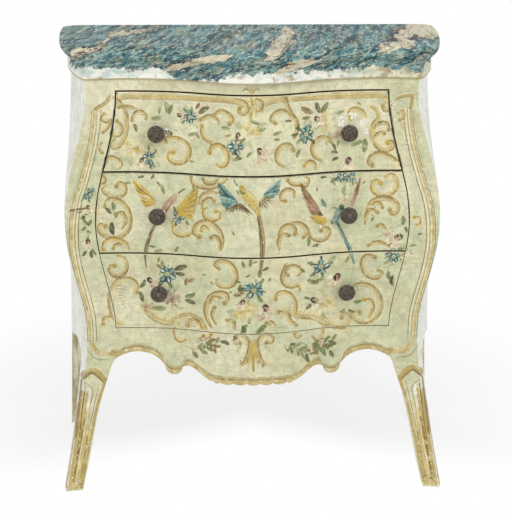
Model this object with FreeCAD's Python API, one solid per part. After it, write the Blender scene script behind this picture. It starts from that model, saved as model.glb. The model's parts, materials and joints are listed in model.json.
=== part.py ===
import FreeCAD, Part
import os
from dataclasses import dataclass

from FreeCAD import Vector

# A painted bombe chest with three drawers, a moulded top and four splayed legs.
# Millimetres. +Z is up, the drawers face -Y, and the chest is the same to the left and right.
# The origin is on the floor, under the middle of the whole chest's width and depth.

# ---------------------------------------------------------------- overall sizes
overall_height = 820.0
top_board_thickness = 24.0
top_moulding_height = 35.0
carcass_depth = 342.0          # from the front corners at the top back to the wall side
body_top = overall_height - top_board_thickness - top_moulding_height

# ---------------------------------------------------------------- the bombe form
# Heights of the sections that carry the swelling outline, as shares of the body's height.
ankle_share = 0.118
knee_share = 0.315
waist_share = 0.434
bulge_share = 0.670
shoulder_share = 0.894

foot_half_width = 350.0
ankle_half_width = 333.0
knee_half_width = 309.5
waist_half_width = 309.5
bulge_half_width = 337.5
shoulder_half_width = 303.5
top_half_width = 298.0

# How far each section's front corner stands forward of the corner at the top.
foot_forward = 46.0
ankle_forward = 22.0
knee_forward = -2.0
waist_forward = 0.0
bulge_forward = 24.0
shoulder_forward = 8.0

# The serpentine front: its middle bows forward, and between middle and corner it hollows back.
bow_low = 46.0
bow_bulge = 45.0
bow_shoulder = 55.0
bow_top = 60.0
hollow = 9.0
bow_shape = ((0.0, 1.0), (0.2, 0.80), (0.4, 0.31), (0.66, 0.0))

back_half_width_top = 347.0
back_half_width_floor = 370.0
side_shape = ((0.30, 0.52), (0.65, 0.86))     # share of the depth, share of the widening
corner_radius = 5.0

# ---------------------------------------------------------------- posts and legs
stile_width = 54.0             # from the front corner to the drawers, as seen from the front
post_depth = 42.0
leg_depth_knee = 37.0
leg_depth_ankle = 33.0
foot_depth = 36.0
leg_width_knee = 41.0
leg_width_calf = 37.0
leg_width_ankle = 34.0
foot_width = 32.0
knee_shoulder_drop = 13.0      # these three are below the height of the knee
knee_width_drop = 33.0
knee_depth_drop = 45.0
rear_post_width = 42.0
rear_post_depth = 40.0
rear_foot_width = 32.0
rear_foot_depth = 34.0
rear_ankle_lean = 4.0
rear_ankle_back = 3.0
rear_calf_rise = 30.0

# ---------------------------------------------------------------- front openings
drawer_line_shares = (0.394, 0.589, 0.786, 0.972)    # middles of the gaps, as shares of the body's height
drawer_line_gaps = (1.4, 2.8, 2.8, 2.8)
drawer_side_gaps = (1.4, 2.0, 2.8)
drawer_names = ("bottom_drawer", "middle_drawer", "top_drawer")

# ---------------------------------------------------------------- boards
front_thickness = 22.0
side_panel_thickness = 18.0
back_panel_thickness = 12.0
rail_thickness = 18.0
divider_depth = 60.0           # from the corner datum back
rail_setback = 0.6             # between a closed drawer front and the rail behind it
rear_rail_depth = 28.0

# ---------------------------------------------------------------- apron
arch_drop = 45.5               # these three are below the lowest drawer line
pendant_drop = 87.0
lobe_drop = 92.5
arch_half_span = 217.0
arch_spread = 9.0
arch_sink = 8.0
pendant_x = 146.0
pendant_half_width = 16.0
pendant_shoulder_drop = 26.0   # from the top of the arch to the pendant's cusps
ogee_run = 10.0
ogee_rise = 3.0
ogee_bend = 7.0
lobe_x = 73.0
scallop_sag = 3.5
scallop_drop = 1.0
scallop_edges = (62.0, 36.0, 13.0)
bead_width = 9.0
bead_relief = 3.0

# ---------------------------------------------------------------- side apron
side_arch_rise = 17.0
side_middle_rise = 3.0

# ---------------------------------------------------------------- top
nosing_reach = 18.0
nosing_round = 8.0
nosing_ease = 0.3              # share of the round left at a third of the way up the edge
moulding_bow_extra = 13.0
moulding_foot_reach = 4.0
moulding_foot_height = 11.0
cove_neck_reach = 0.5
cove_shape = ((0.22, 0.06), (0.50, 0.0), (0.80, 0.35))    # share of its height, share of its reach
moulding_width = 40.0
moulding_rear_depth = 24.0
top_back_radius = 30.0
top_corner_radius = 9.0

# ---------------------------------------------------------------- drawer boxes
seat_gap = 0.3
head_room = 3.0
box_side_gap = 3.0
box_wall = 12.0
box_back_gap = 6.0
back_top_drop = 6.0
bottom_thickness = 7.0
bottom_rise = 8.0
groove_depth = 5.0

# ---------------------------------------------------------------- runners
runner_overlap = 20.0          # how far a runner reaches under the drawer
guide_gap = 1.0
guide_width = 12.0
guide_height = 18.0
kicker_gap = 2.0
kicker_thickness = 18.0
dust_board_thickness = 8.0

# ---------------------------------------------------------------- knobs
knob_half_spacing = 171.0
knob_rise = 0.49               # height up the drawer front, as a share of it
knob_radius = 15.5
knob_length = 29.0
knob_neck_radius = 5.5
knob_neck_start = 5.0
knob_neck_end = 10.4
knob_base_radius = 9.5
knob_base_height = 2.5
knob_head_shape = (            # share of the head's radius, share of the length
    (0.80, 0.50), (1.00, 0.58), (1.00, 0.66), (0.80, 0.76), (0.72, 0.73),
    (0.52, 0.84), (0.45, 0.80), (0.25, 1.00), (0.00, 1.00),
)
knob_scribe_depth = 6.0        # length left on the base to be scribed to the curved front
screw_radius = 2.0
screw_hole_gap = 0.2
screw_reach = 15.0
screw_head_radius = 4.0
screw_head_height = 2.4

# ---------------------------------------------------------------- worked out once
front_reach = nosing_reach + bow_top + moulding_bow_extra - hollow
overall_depth = front_reach + carcass_depth
datum_y = -overall_depth / 2 + front_reach       # front corners at the top of the body
back_y = datum_y + carcass_depth
post_back_y = datum_y + post_depth
rear_post_y = back_y - rear_post_depth
panel_back_y = back_y - back_panel_thickness
rail_half = rail_thickness / 2
beyond = 2 * overall_height                      # longer than the whole chest

ankle_height, knee_height, waist_height, bulge_height, shoulder_height = (
    share * body_top for share in (ankle_share, knee_share, waist_share, bulge_share, shoulder_share))
drawer_line_heights = tuple(share * body_top for share in drawer_line_shares)
lowest_line = drawer_line_heights[0]
arch_height = lowest_line - arch_drop
pendant_height = lowest_line - pendant_drop
lobe_height = lowest_line - lobe_drop


@dataclass(frozen=True)
class Station:
    """One level section of the bombe form."""

    height: float
    corner_x: float
    corner_y: float
    bow: float


stations = (
    Station(0.0, foot_half_width, datum_y - foot_forward, bow_low),
    Station(ankle_height, ankle_half_width, datum_y - ankle_forward, bow_low),
    Station(knee_height, knee_half_width, datum_y - knee_forward, bow_low),
    Station(waist_height, waist_half_width, datum_y - waist_forward, bow_low),
    Station(bulge_height, bulge_half_width, datum_y - bulge_forward, bow_bulge),
    Station(shoulder_height, shoulder_half_width, datum_y - shoulder_forward, bow_shoulder),
    Station(body_top, top_half_width, datum_y, bow_top),
)


def spline(points):
    """Edge of a smooth curve through the points."""
    curve = Part.BSplineCurve()
    curve.interpolate(points)
    return curve.toShape()


def arc(start, middle, end):
    """Edge of a round arc through three points."""
    return Part.Arc(start, middle, end).toShape()


def line(start, end):
    """Straight edge between two points."""
    return Part.LineSegment(start, end).toShape()


def mirrored(shape):
    """The same shape on the other side of the chest."""
    return shape.mirror(Vector(0, 0, 0), Vector(1, 0, 0))


def block(x0, x1, y0, y1, z0, z1):
    """Box between the given limits."""
    return Part.makeBox(x1 - x0, y1 - y0, z1 - z0, Vector(x0, y0, z0))


def slab(z0, z1):
    """Everything between two heights."""
    return block(-beyond, beyond, -beyond, beyond, z0, z1)


def front_prism(edges):
    """Solid with the outline that the edges close in front view, running through the depth."""
    face = Part.Face(Part.Wire(edges))
    face.translate(Vector(0, -beyond, 0))
    return face.extrude(Vector(0, 2 * beyond, 0))


def side_prism(edges, x0, x1):
    """Solid with the outline that the edges close in side view, between two widths."""
    face = Part.Face(Part.Wire(edges))
    face.translate(Vector(x0, 0, 0))
    return face.extrude(Vector(x1 - x0, 0, 0))


def height_curve(pairs):
    """Curve of a value against height, as a front-view spline."""
    curve = Part.BSplineCurve()
    curve.interpolate([Vector(value, 0, height) for value, height in pairs])
    return curve


def value_at(curve, height):
    """Value of a height curve at a height inside its range."""
    low, high = curve.FirstParameter, curve.LastParameter
    halvings = 50
    for _ in range(halvings):
        middle = (low + high) / 2
        if curve.value(middle).z < height:
            low = middle
        else:
            high = middle
    return curve.value(low).x


# ---------------------------------------------------------------- forms that the pieces are cut from
def back_half_width(height):
    """Half width at the back, which spreads a little towards the floor."""
    return back_half_width_floor + (back_half_width_top - back_half_width_floor) * height / body_top


def plan_wire(z, corner_x, corner_y, bow, back_x, rear_y, round_front, round_back):
    """Closed plan outline: serpentine front, swelling sides and straight back."""
    half = [(share * corner_x, corner_y + hollow - part * bow) for share, part in bow_shape]
    half.append((corner_x - round_front, corner_y))
    right = [Vector(x, y, z) for x, y in half]
    left = [Vector(-x, y, z) for x, y in reversed(half[1:])]
    front = spline(left + right)

    side_start = Vector(corner_x, corner_y + round_front, z)
    side_end = Vector(back_x, rear_y - round_back, z)
    run = side_end - side_start
    bends = [Vector(side_start.x + gain * run.x, side_start.y + share * run.y, z)
             for share, gain in side_shape]
    side = spline([side_start] + bends + [side_end])
    inset = round_front * (1 - 0.5 ** 0.5)
    corner = arc(right[-1], Vector(corner_x - inset, corner_y + inset, z), side_start)
    halves = [corner, side]
    if round_back:
        inset = round_back * (1 - 0.5 ** 0.5)
        back_corner = Vector(back_x - round_back, rear_y, z)
        halves.append(arc(side_end, Vector(back_x - inset, rear_y - inset, z), back_corner))
    else:
        back_corner = side_end
    back = line(back_corner, Vector(-back_corner.x, back_corner.y, z))
    opposite = [mirrored(edge) for edge in reversed(halves)]
    return Part.Wire([front] + halves + [back] + opposite)


def make_body_form():
    """Whole bombe form from the floor to the top of the body, as one solid to cut from."""
    wires = [plan_wire(s.height, s.corner_x, s.corner_y, s.bow, back_half_width(s.height), back_y,
                       corner_radius, 0.0) for s in stations]
    return Part.makeLoft(wires, True, False)


def top_outline(z, reach):
    """Plan outline of the top and its moulding, standing out from the body by the reach."""
    return plan_wire(z, top_half_width + reach, datum_y - reach, bow_top + moulding_bow_extra,
                     back_half_width_top + reach, back_y,
                     top_corner_radius, top_back_radius)


body_form = make_body_form()
behind_front = body_form.translated(Vector(0, front_thickness, 0))
behind_rail_gap = body_form.translated(Vector(0, front_thickness + rail_setback, 0))
right_of_left_panel = body_form.translated(Vector(side_panel_thickness, 0, 0))
left_of_right_panel = body_form.translated(Vector(-side_panel_thickness, 0, 0))

bay_curve = height_curve([(s.corner_x - stile_width, s.height) for s in stations if s.height >= knee_height])


def bay(gap):
    """Front-view opening between the two stiles, less a gap at each side."""
    edge = bay_curve.toShape()
    edge.translate(Vector(-gap, 0, 0))
    low, high = edge.Vertexes[0].Point, edge.Vertexes[-1].Point
    top = line(high, Vector(-high.x, 0, high.z))
    bottom = line(Vector(-low.x, 0, low.z), low)
    return front_prism([edge, top, mirrored(edge), bottom])


def surface_y(x, z):
    """How far forward the painted front lies at a point of the front view."""
    probe = line(Vector(x, -beyond, z), Vector(x, 0, z))
    return body_form.common(probe).BoundBox.YMin


# ---------------------------------------------------------------- posts
def make_front_post():
    """Right front post: stile and splayed leg in one piece, sawn to its two outlines."""
    leg_top = Vector(knee_half_width - stile_width, 0, knee_height)
    calf_height = (ankle_height + knee_height) / 2
    calf_half_width = value_at(height_curve([(s.corner_x, s.height) for s in stations]), calf_height)
    shoulder_x = knee_half_width - (stile_width + leg_width_knee) / 2
    inner = spline([
        Vector(foot_half_width - foot_width, 0, 0),
        Vector(ankle_half_width - leg_width_ankle, 0, ankle_height),
        Vector(calf_half_width - leg_width_calf, 0, calf_height),
        Vector(knee_half_width - leg_width_knee, 0, knee_height - knee_width_drop),
        Vector(shoulder_x, 0, knee_height - knee_shoulder_drop),
        leg_top,
    ])
    stile = bay_curve.toShape()
    stile_top = stile.Vertexes[-1].Point
    outline = front_prism([
        inner,
        stile,
        line(stile_top, Vector(beyond, 0, body_top)),
        line(Vector(beyond, 0, body_top), Vector(beyond, 0, 0)),
        line(Vector(beyond, 0, 0), Vector(foot_half_width - foot_width, 0, 0)),
    ])
    foot_back = datum_y - foot_forward + foot_depth
    ankle_back = datum_y - ankle_forward + leg_depth_ankle
    profile = side_prism([
        spline([
            Vector(0, foot_back, 0),
            Vector(0, ankle_back, ankle_height),
            Vector(0, datum_y + leg_depth_knee, knee_height - knee_depth_drop),
            Vector(0, post_back_y, knee_height),
        ]),
        line(Vector(0, post_back_y, knee_height), Vector(0, post_back_y, body_top)),
        line(Vector(0, post_back_y, body_top), Vector(0, -beyond, body_top)),
        line(Vector(0, -beyond, body_top), Vector(0, -beyond, 0)),
        line(Vector(0, -beyond, 0), Vector(0, foot_back, 0)),
    ], 0, beyond)
    return outline.common(profile).common(body_form)


def make_rear_post():
    """Right rear post: corner of the back running down into a tapered leg."""
    inner_x = back_half_width_top - rear_post_width
    foot_x = back_half_width_floor - rear_foot_width
    outline = front_prism([
        spline([
            Vector(foot_x, 0, 0),
            Vector(foot_x - rear_ankle_lean, 0, ankle_height),
            Vector((foot_x + inner_x) / 2, 0, (ankle_height + knee_height) / 2 + rear_calf_rise),
            Vector(inner_x, 0, knee_height),
        ]),
        line(Vector(inner_x, 0, knee_height), Vector(inner_x, 0, body_top)),
        line(Vector(inner_x, 0, body_top), Vector(beyond, 0, body_top)),
        line(Vector(beyond, 0, body_top), Vector(beyond, 0, 0)),
        line(Vector(beyond, 0, 0), Vector(foot_x, 0, 0)),
    ])
    foot_y = back_y - rear_foot_depth
    profile = side_prism([
        spline([
            Vector(0, foot_y, 0),
            Vector(0, foot_y + rear_ankle_back, ankle_height),
            Vector(0, rear_post_y, knee_height),
        ]),
        line(Vector(0, rear_post_y, knee_height), Vector(0, rear_post_y, body_top)),
        line(Vector(0, rear_post_y, body_top), Vector(0, back_y, body_top)),
        line(Vector(0, back_y, body_top), Vector(0, back_y, 0)),
        line(Vector(0, back_y, 0), Vector(0, foot_y, 0)),
    ], 0, beyond)
    return outline.common(profile).common(body_form)


def make_side_panel():
    """Right side panel: one bombe board between the posts, arched along its lower edge."""
    middle_y = (post_back_y + rear_post_y) / 2
    quarter = (rear_post_y - post_back_y) / 4
    outline = side_prism([
        spline([
            Vector(0, post_back_y, knee_height),
            Vector(0, middle_y - quarter, knee_height + side_arch_rise),
            Vector(0, middle_y, knee_height + side_middle_rise),
            Vector(0, middle_y + quarter, knee_height + side_arch_rise),
            Vector(0, rear_post_y, knee_height),
        ]),
        line(Vector(0, rear_post_y, knee_height), Vector(0, rear_post_y, body_top)),
        line(Vector(0, rear_post_y, body_top), Vector(0, post_back_y, body_top)),
        line(Vector(0, post_back_y, body_top), Vector(0, post_back_y, knee_height)),
    ], 0, beyond)
    return outline.common(body_form).cut(left_of_right_panel)


# ---------------------------------------------------------------- apron
def apron_half_edges():
    """Right half of the scalloped lower edge, from the leg to the middle."""
    leg_top = Vector(knee_half_width - stile_width, 0, knee_height)
    outer_cusp = Vector(pendant_x + pendant_half_width, 0, arch_height - pendant_shoulder_drop)
    inner_cusp = Vector(pendant_x - pendant_half_width, 0, outer_cusp.z)
    lobe_start = Vector(lobe_x, 0, lobe_height)
    edges = [
        spline([
            leg_top,
            Vector((leg_top.x + arch_half_span) / 2 + arch_spread, 0, arch_height - arch_sink),
            Vector(arch_half_span, 0, arch_height),
            Vector((arch_half_span + outer_cusp.x) / 2 - arch_spread, 0, arch_height - arch_sink),
            outer_cusp,
        ]),
        arc(outer_cusp, Vector(pendant_x, 0, pendant_height), inner_cusp),
        spline([
            inner_cusp,
            Vector(inner_cusp.x - ogee_run, 0, inner_cusp.z + ogee_rise),
            Vector((inner_cusp.x + lobe_start.x) / 2 - ogee_bend, 0, (inner_cusp.z + lobe_start.z) / 2),
            lobe_start,
        ]),
    ]
    start = lobe_start
    for cusp_x in scallop_edges:
        cusp = Vector(cusp_x, 0, lobe_height - scallop_drop)
        edges.append(arc(start, Vector((start.x + cusp.x) / 2, 0, start.z - scallop_sag), cusp))
        start = cusp
    return edges, start


def apron_outline(rise):
    """Closed front-view outline between the stiles, its scalloped edge raised by the rise."""
    halves, inner_cusp = apron_half_edges()
    middle = Vector(0, 0, inner_cusp.z - scallop_sag)
    centre = arc(inner_cusp, middle, Vector(-inner_cusp.x, 0, inner_cusp.z))
    lower = halves + [centre] + [mirrored(edge) for edge in reversed(halves)]
    for edge in lower:
        edge.translate(Vector(0, 0, rise))
    half = knee_half_width - stile_width
    top = waist_height + rise
    right_foot = Vector(half, 0, knee_height + rise)
    left_foot = Vector(-half, 0, knee_height + rise)
    return front_prism(lower + [
        line(left_foot, Vector(-half, 0, top)),
        line(Vector(-half, 0, top), Vector(half, 0, top)),
        line(Vector(half, 0, top), right_foot),
    ])


def make_apron():
    """Front apron with the raised bead along its scalloped edge."""
    top = lowest_line - drawer_line_gaps[0] / 2
    blank = apron_outline(0.0).common(bay(0.0).fuse(slab(0.0, knee_height))).common(slab(0.0, top))
    board = blank.common(body_form)
    bead = blank.cut(apron_outline(bead_width)).common(body_form.translated(Vector(0, -bead_relief, 0)))
    return board.fuse(bead).cut(behind_front).removeSplitter()


# ---------------------------------------------------------------- rails
def make_top_rail():
    """Front rail over the top drawer, between the stiles."""
    low = drawer_line_heights[-1] + drawer_line_gaps[-1] / 2
    return bay(0.0).common(slab(low, body_top)).common(body_form).cut(behind_front)


def make_divider(height):
    """Rail behind the gap between two drawer fronts, following their serpentine."""
    board = bay(0.0).common(slab(height - rail_half, height + rail_half))
    board = board.common(block(-beyond, beyond, -beyond, datum_y + divider_depth, 0, overall_height))
    return board.common(behind_rail_gap)


def make_rear_rail():
    """Rail across the back under the top."""
    half = back_half_width_top - rear_post_width
    return block(-half, half, panel_back_y - rear_rail_depth, panel_back_y, body_top - rail_thickness, body_top)


def make_back_panel():
    """Plain board between the rear posts."""
    half = back_half_width_top - rear_post_width
    return block(-half, half, panel_back_y, back_y, knee_height, body_top)


# ---------------------------------------------------------------- drawers
@dataclass(frozen=True)
class DrawerPlan:
    """Sizes of one drawer, from the opening that it fills."""

    name: str
    front_low: float
    front_high: float
    side_gap: float
    box_low: float
    box_high: float
    box_half: float
    knob_height: float


def plan_drawer(index):
    """Work out one drawer from the lines above and below it."""
    low, high = drawer_line_heights[index], drawer_line_heights[index + 1]
    box_low = low + rail_half + seat_gap
    box_high = high - rail_half - head_room
    room = min(value_at(bay_curve, box_low), value_at(bay_curve, box_high))
    return DrawerPlan(
        name=drawer_names[index],
        front_low=low + drawer_line_gaps[index] / 2,
        front_high=high - drawer_line_gaps[index + 1] / 2,
        side_gap=drawer_side_gaps[index],
        box_low=box_low,
        box_high=box_high,
        box_half=room - box_side_gap,
        knob_height=low + knob_rise * (high - low),
    )


box_back_y = panel_back_y - rear_rail_depth - box_back_gap


def make_drawer_bottom(plan):
    """Thin bottom, let into grooves in the front and the sides."""
    half = plan.box_half - box_wall + groove_depth
    low = plan.box_low + bottom_rise
    board = block(-half, half, -beyond, box_back_y, low, low + bottom_thickness)
    return board.common(body_form.translated(Vector(0, front_thickness - groove_depth, 0)))


def make_drawer_side(plan, bottom):
    """Right side of the box, its front end scribed to the back of the serpentine front."""
    board = block(plan.box_half - box_wall, plan.box_half, -beyond, box_back_y, plan.box_low, plan.box_high)
    return board.common(behind_front).cut(bottom)


def make_drawer_back(plan):
    """Back of the box, standing on the bottom."""
    half = plan.box_half - box_wall
    low = plan.box_low + bottom_rise + bottom_thickness
    return block(-half, half, box_back_y - box_wall, box_back_y, low, plan.box_high - back_top_drop)


def make_drawer_front(plan, bottom):
    """Front curved in both directions, grooved for the bottom and bored for the knob screws."""
    blank = bay(plan.side_gap).common(slab(plan.front_low, plan.front_high))
    front = blank.common(body_form).cut(behind_front).cut(bottom)
    for x in (-knob_half_spacing, knob_half_spacing):
        hole = Part.makeCylinder(screw_radius + screw_hole_gap, 2 * beyond,
                                 Vector(x, -beyond, plan.knob_height), Vector(0, 1, 0))
        front = front.cut(hole)
    return front


def make_knob(plan):
    """Right knob: a turned head with rings on a neck, its base scribed to the drawer front."""
    face_y = surface_y(knob_half_spacing, plan.knob_height)

    def at(radius, out):
        return Vector(knob_half_spacing + radius, face_y - out, plan.knob_height)

    points = [
        at(0, -knob_scribe_depth),
        at(knob_base_radius, -knob_scribe_depth),
        at(knob_base_radius, knob_base_height),
        at(knob_neck_radius, knob_neck_start),
        at(knob_neck_radius, knob_neck_end),
    ]
    points += [at(wide * knob_radius, far * knob_length) for wide, far in knob_head_shape]
    points.append(points[0])
    blank = Part.Face(Part.makePolygon(points)).revolve(
        Vector(knob_half_spacing, face_y, plan.knob_height), Vector(0, 1, 0), 360)
    bore = Part.makeCylinder(screw_radius + screw_hole_gap, screw_reach + knob_scribe_depth,
                             Vector(knob_half_spacing, face_y - screw_reach, plan.knob_height), Vector(0, 1, 0))
    return Part.Solid(blank.cut(body_form).cut(bore).Solids[0])


def make_knob_screw(plan, front):
    """Right knob's screw, put in from inside the drawer."""
    face_y = surface_y(knob_half_spacing, plan.knob_height)
    start = Vector(knob_half_spacing, face_y - screw_reach, plan.knob_height)
    seat = Vector(knob_half_spacing, face_y + front_thickness, plan.knob_height)
    shank = Part.makeCylinder(screw_radius, screw_reach + front_thickness, start, Vector(0, 1, 0))
    head = Part.makeCylinder(screw_head_radius, screw_head_height, seat, Vector(0, 1, 0))
    return shank.fuse(head).cut(front).removeSplitter()


def make_drawer(index):
    """All pieces of one drawer, by node name."""
    plan = plan_drawer(index)
    bottom = make_drawer_bottom(plan)
    side = make_drawer_side(plan, bottom)
    front = make_drawer_front(plan, bottom)
    knob = make_knob(plan)
    screw = make_knob_screw(plan, front)
    return {
        plan.name + "_front": front,
        plan.name + "_side_right": side,
        plan.name + "_side_left": mirrored(side),
        plan.name + "_back": make_drawer_back(plan),
        plan.name + "_bottom": bottom,
        plan.name + "_knobs": Part.makeCompound([knob, mirrored(knob)]),
        plan.name + "_knob_screws": Part.makeCompound([screw, mirrored(screw)]),
    }


# ---------------------------------------------------------------- runners, guides and kickers
def between_panels(board):
    """Cut a board's end to the curved inner faces of the side panels and to the posts."""
    board = board.common(left_of_right_panel)
    rear_corner = block(back_half_width_top - rear_post_width, beyond, rear_post_y, beyond, 0, overall_height)
    return board.cut(rear_corner)


def make_runner(index):
    """Right runner of one drawer, from the rail back to the back panel."""
    plan = plan_drawer(index)
    height = drawer_line_heights[index]
    board = block(plan.box_half - runner_overlap, beyond, datum_y + divider_depth, panel_back_y,
                  height - rail_half, height + rail_half)
    return between_panels(board)


def make_guide(index):
    """Right guide of one drawer, standing on the runner beside the box."""
    plan = plan_drawer(index)
    low = drawer_line_heights[index] + rail_half
    inner = plan.box_half + guide_gap
    return block(inner, inner + guide_width, datum_y + divider_depth, rear_post_y, low, low + guide_height)


def make_kicker():
    """Right kicker, which keeps the open top drawer level."""
    plan = plan_drawer(len(drawer_names) - 1)
    low = plan.box_high + kicker_gap
    board = block(plan.box_half - runner_overlap, plan.box_half, -beyond, panel_back_y - rear_rail_depth,
                  low, low + kicker_thickness)
    return board.common(behind_front)


def make_dust_board():
    """Thin board between the lowest runners, closing the chest from below."""
    plan = plan_drawer(0)
    half = plan.box_half - runner_overlap
    return block(-half, half, datum_y + divider_depth, panel_back_y,
                 lowest_line - dust_board_thickness / 2, lowest_line + dust_board_thickness / 2)


# ---------------------------------------------------------------- top
def make_top_board():
    """Solid top with a rounded nosing on its front and sides."""
    low = overall_height - top_board_thickness
    middle = (low + overall_height) / 2
    ease = nosing_ease * nosing_round
    levels = (
        (low, nosing_reach - nosing_round),
        (low + ease, nosing_reach - ease),
        (middle, nosing_reach),
        (overall_height - ease, nosing_reach - ease),
        (overall_height, nosing_reach - nosing_round),
    )
    return Part.makeLoft([top_outline(z, reach) for z, reach in levels], True, False)


def make_moulding_ring():
    """Moulding under the top all round: a plain band at the foot and a cove above it."""
    band_top = body_top + moulding_foot_height
    cove_height = top_moulding_height - moulding_foot_height
    top_reach = nosing_reach - nosing_round
    band = Part.makeLoft([top_outline(body_top, moulding_foot_reach),
                          top_outline(band_top, moulding_foot_reach)], True, True)
    levels = [(band_top, moulding_foot_reach)]
    levels += [(band_top + up * cove_height, cove_neck_reach + out * (top_reach - cove_neck_reach))
               for up, out in cove_shape]
    levels.append((body_top + top_moulding_height, top_reach))
    cove = Part.makeLoft([top_outline(z, reach) for z, reach in levels], True, False)
    return band.fuse(cove)


def make_mouldings():
    """Front, side and rear runs of the moulding, the front ones mitred at the corners."""
    ring = make_moulding_ring()
    inner_x = top_half_width - moulding_width
    inner_y = datum_y + moulding_width
    rear = ring.common(block(-inner_x, inner_x, back_y - moulding_rear_depth, beyond, 0, beyond))
    ring = ring.cut(block(-inner_x, inner_x, inner_y, beyond, 0, beyond))
    corner = Vector(top_half_width, datum_y, 0)
    inner = Vector(inner_x, inner_y, 0)
    outward = corner + (corner - inner) * (overall_height / moulding_width)
    wedge_points = [inner, outward, Vector(-outward.x, outward.y, 0), Vector(-inner.x, inner.y, 0), inner]
    wedge = Part.Face(Part.makePolygon(wedge_points)).extrude(Vector(0, 0, beyond))
    front = ring.common(wedge)
    sides = ring.cut(wedge)
    right = sides.common(block(0, beyond, -beyond, beyond, 0, beyond))
    return {
        "top_moulding_front": front,
        "top_moulding_right": right,
        "top_moulding_left": mirrored(right),
        "top_moulding_rear": rear,
    }


# ---------------------------------------------------------------- the chest
def build_nodes():
    """Every piece of the chest, by node name."""
    front_post, rear_post, side_panel = make_front_post(), make_rear_post(), make_side_panel()
    kicker = make_kicker()
    nodes = {
        "front_post_right": front_post,
        "front_post_left": mirrored(front_post),
        "rear_post_right": rear_post,
        "rear_post_left": mirrored(rear_post),
        "side_panel_right": side_panel,
        "side_panel_left": mirrored(side_panel),
        "back_panel": make_back_panel(),
        "apron_front": make_apron(),
        "top_rail_front": make_top_rail(),
        "top_rail_rear": make_rear_rail(),
        "bottom_rail": make_divider(lowest_line),
        "lower_divider_rail": make_divider(drawer_line_heights[1]),
        "upper_divider_rail": make_divider(drawer_line_heights[2]),
        "kicker_right": kicker,
        "kicker_left": mirrored(kicker),
        "dust_board": make_dust_board(),
        "top_board": make_top_board(),
    }
    nodes.update(make_mouldings())
    for index, name in enumerate(drawer_names):
        runner, guide = make_runner(index), make_guide(index)
        nodes[name + "_runner_right"] = runner
        nodes[name + "_runner_left"] = mirrored(runner)
        nodes[name + "_guide_right"] = guide
        nodes[name + "_guide_left"] = mirrored(guide)
        nodes.update(make_drawer(index))
    return nodes


os.makedirs("parts", exist_ok=True)
for node_name, shape in build_nodes().items():
    shape.exportStep(os.path.join("parts", node_name + ".step"))
    print(node_name, len(shape.Solids), "solid", "valid" if shape.isValid() else "NOT VALID",
          round(shape.Volume / 1000.0, 1), "cm3")
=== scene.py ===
"""A painted bombe chest with three drawers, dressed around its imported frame.

Metres. +Z is up, the drawers face -Y and slide that way, and +X is to the right as seen from the front.
"""

import json
import logging
import math
import random
from dataclasses import dataclass, field
from enum import Enum
from typing import Any, Iterable, Sequence

import bpy
import numpy as np
from mathutils import Matrix, Vector


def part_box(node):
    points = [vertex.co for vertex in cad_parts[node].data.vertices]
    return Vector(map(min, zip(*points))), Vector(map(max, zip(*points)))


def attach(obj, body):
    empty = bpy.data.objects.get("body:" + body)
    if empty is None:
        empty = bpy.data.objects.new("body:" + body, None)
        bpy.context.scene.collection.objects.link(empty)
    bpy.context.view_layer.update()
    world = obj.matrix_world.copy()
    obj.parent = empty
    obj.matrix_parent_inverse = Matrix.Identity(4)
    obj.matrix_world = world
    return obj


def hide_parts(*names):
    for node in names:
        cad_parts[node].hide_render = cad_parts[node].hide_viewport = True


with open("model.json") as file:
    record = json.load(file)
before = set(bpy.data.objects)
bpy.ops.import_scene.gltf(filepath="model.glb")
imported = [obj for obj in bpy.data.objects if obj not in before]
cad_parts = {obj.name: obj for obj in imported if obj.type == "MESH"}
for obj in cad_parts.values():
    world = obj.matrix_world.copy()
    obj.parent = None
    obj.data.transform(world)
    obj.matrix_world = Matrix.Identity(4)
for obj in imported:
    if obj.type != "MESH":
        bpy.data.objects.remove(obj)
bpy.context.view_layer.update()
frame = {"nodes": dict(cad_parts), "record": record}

MM = 0.001
IMAGE_HEIGHT = 520              # pixels
BUMP_SHARE = 0.6
DRAWERS = ("bottom_drawer", "middle_drawer", "top_drawer")
CARCASS = "carcass"

Colour = tuple[float, float, float]
Point = tuple[float, float]
Socket = bpy.types.NodeSocket

logging.basicConfig(level=logging.INFO, format="%(name)s: %(message)s")
log = logging.getLogger("chest")


def rgba(colour: Colour) -> tuple[float, float, float, float]:
    """The colour with full opacity."""
    return (*colour, 1.0)


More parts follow.
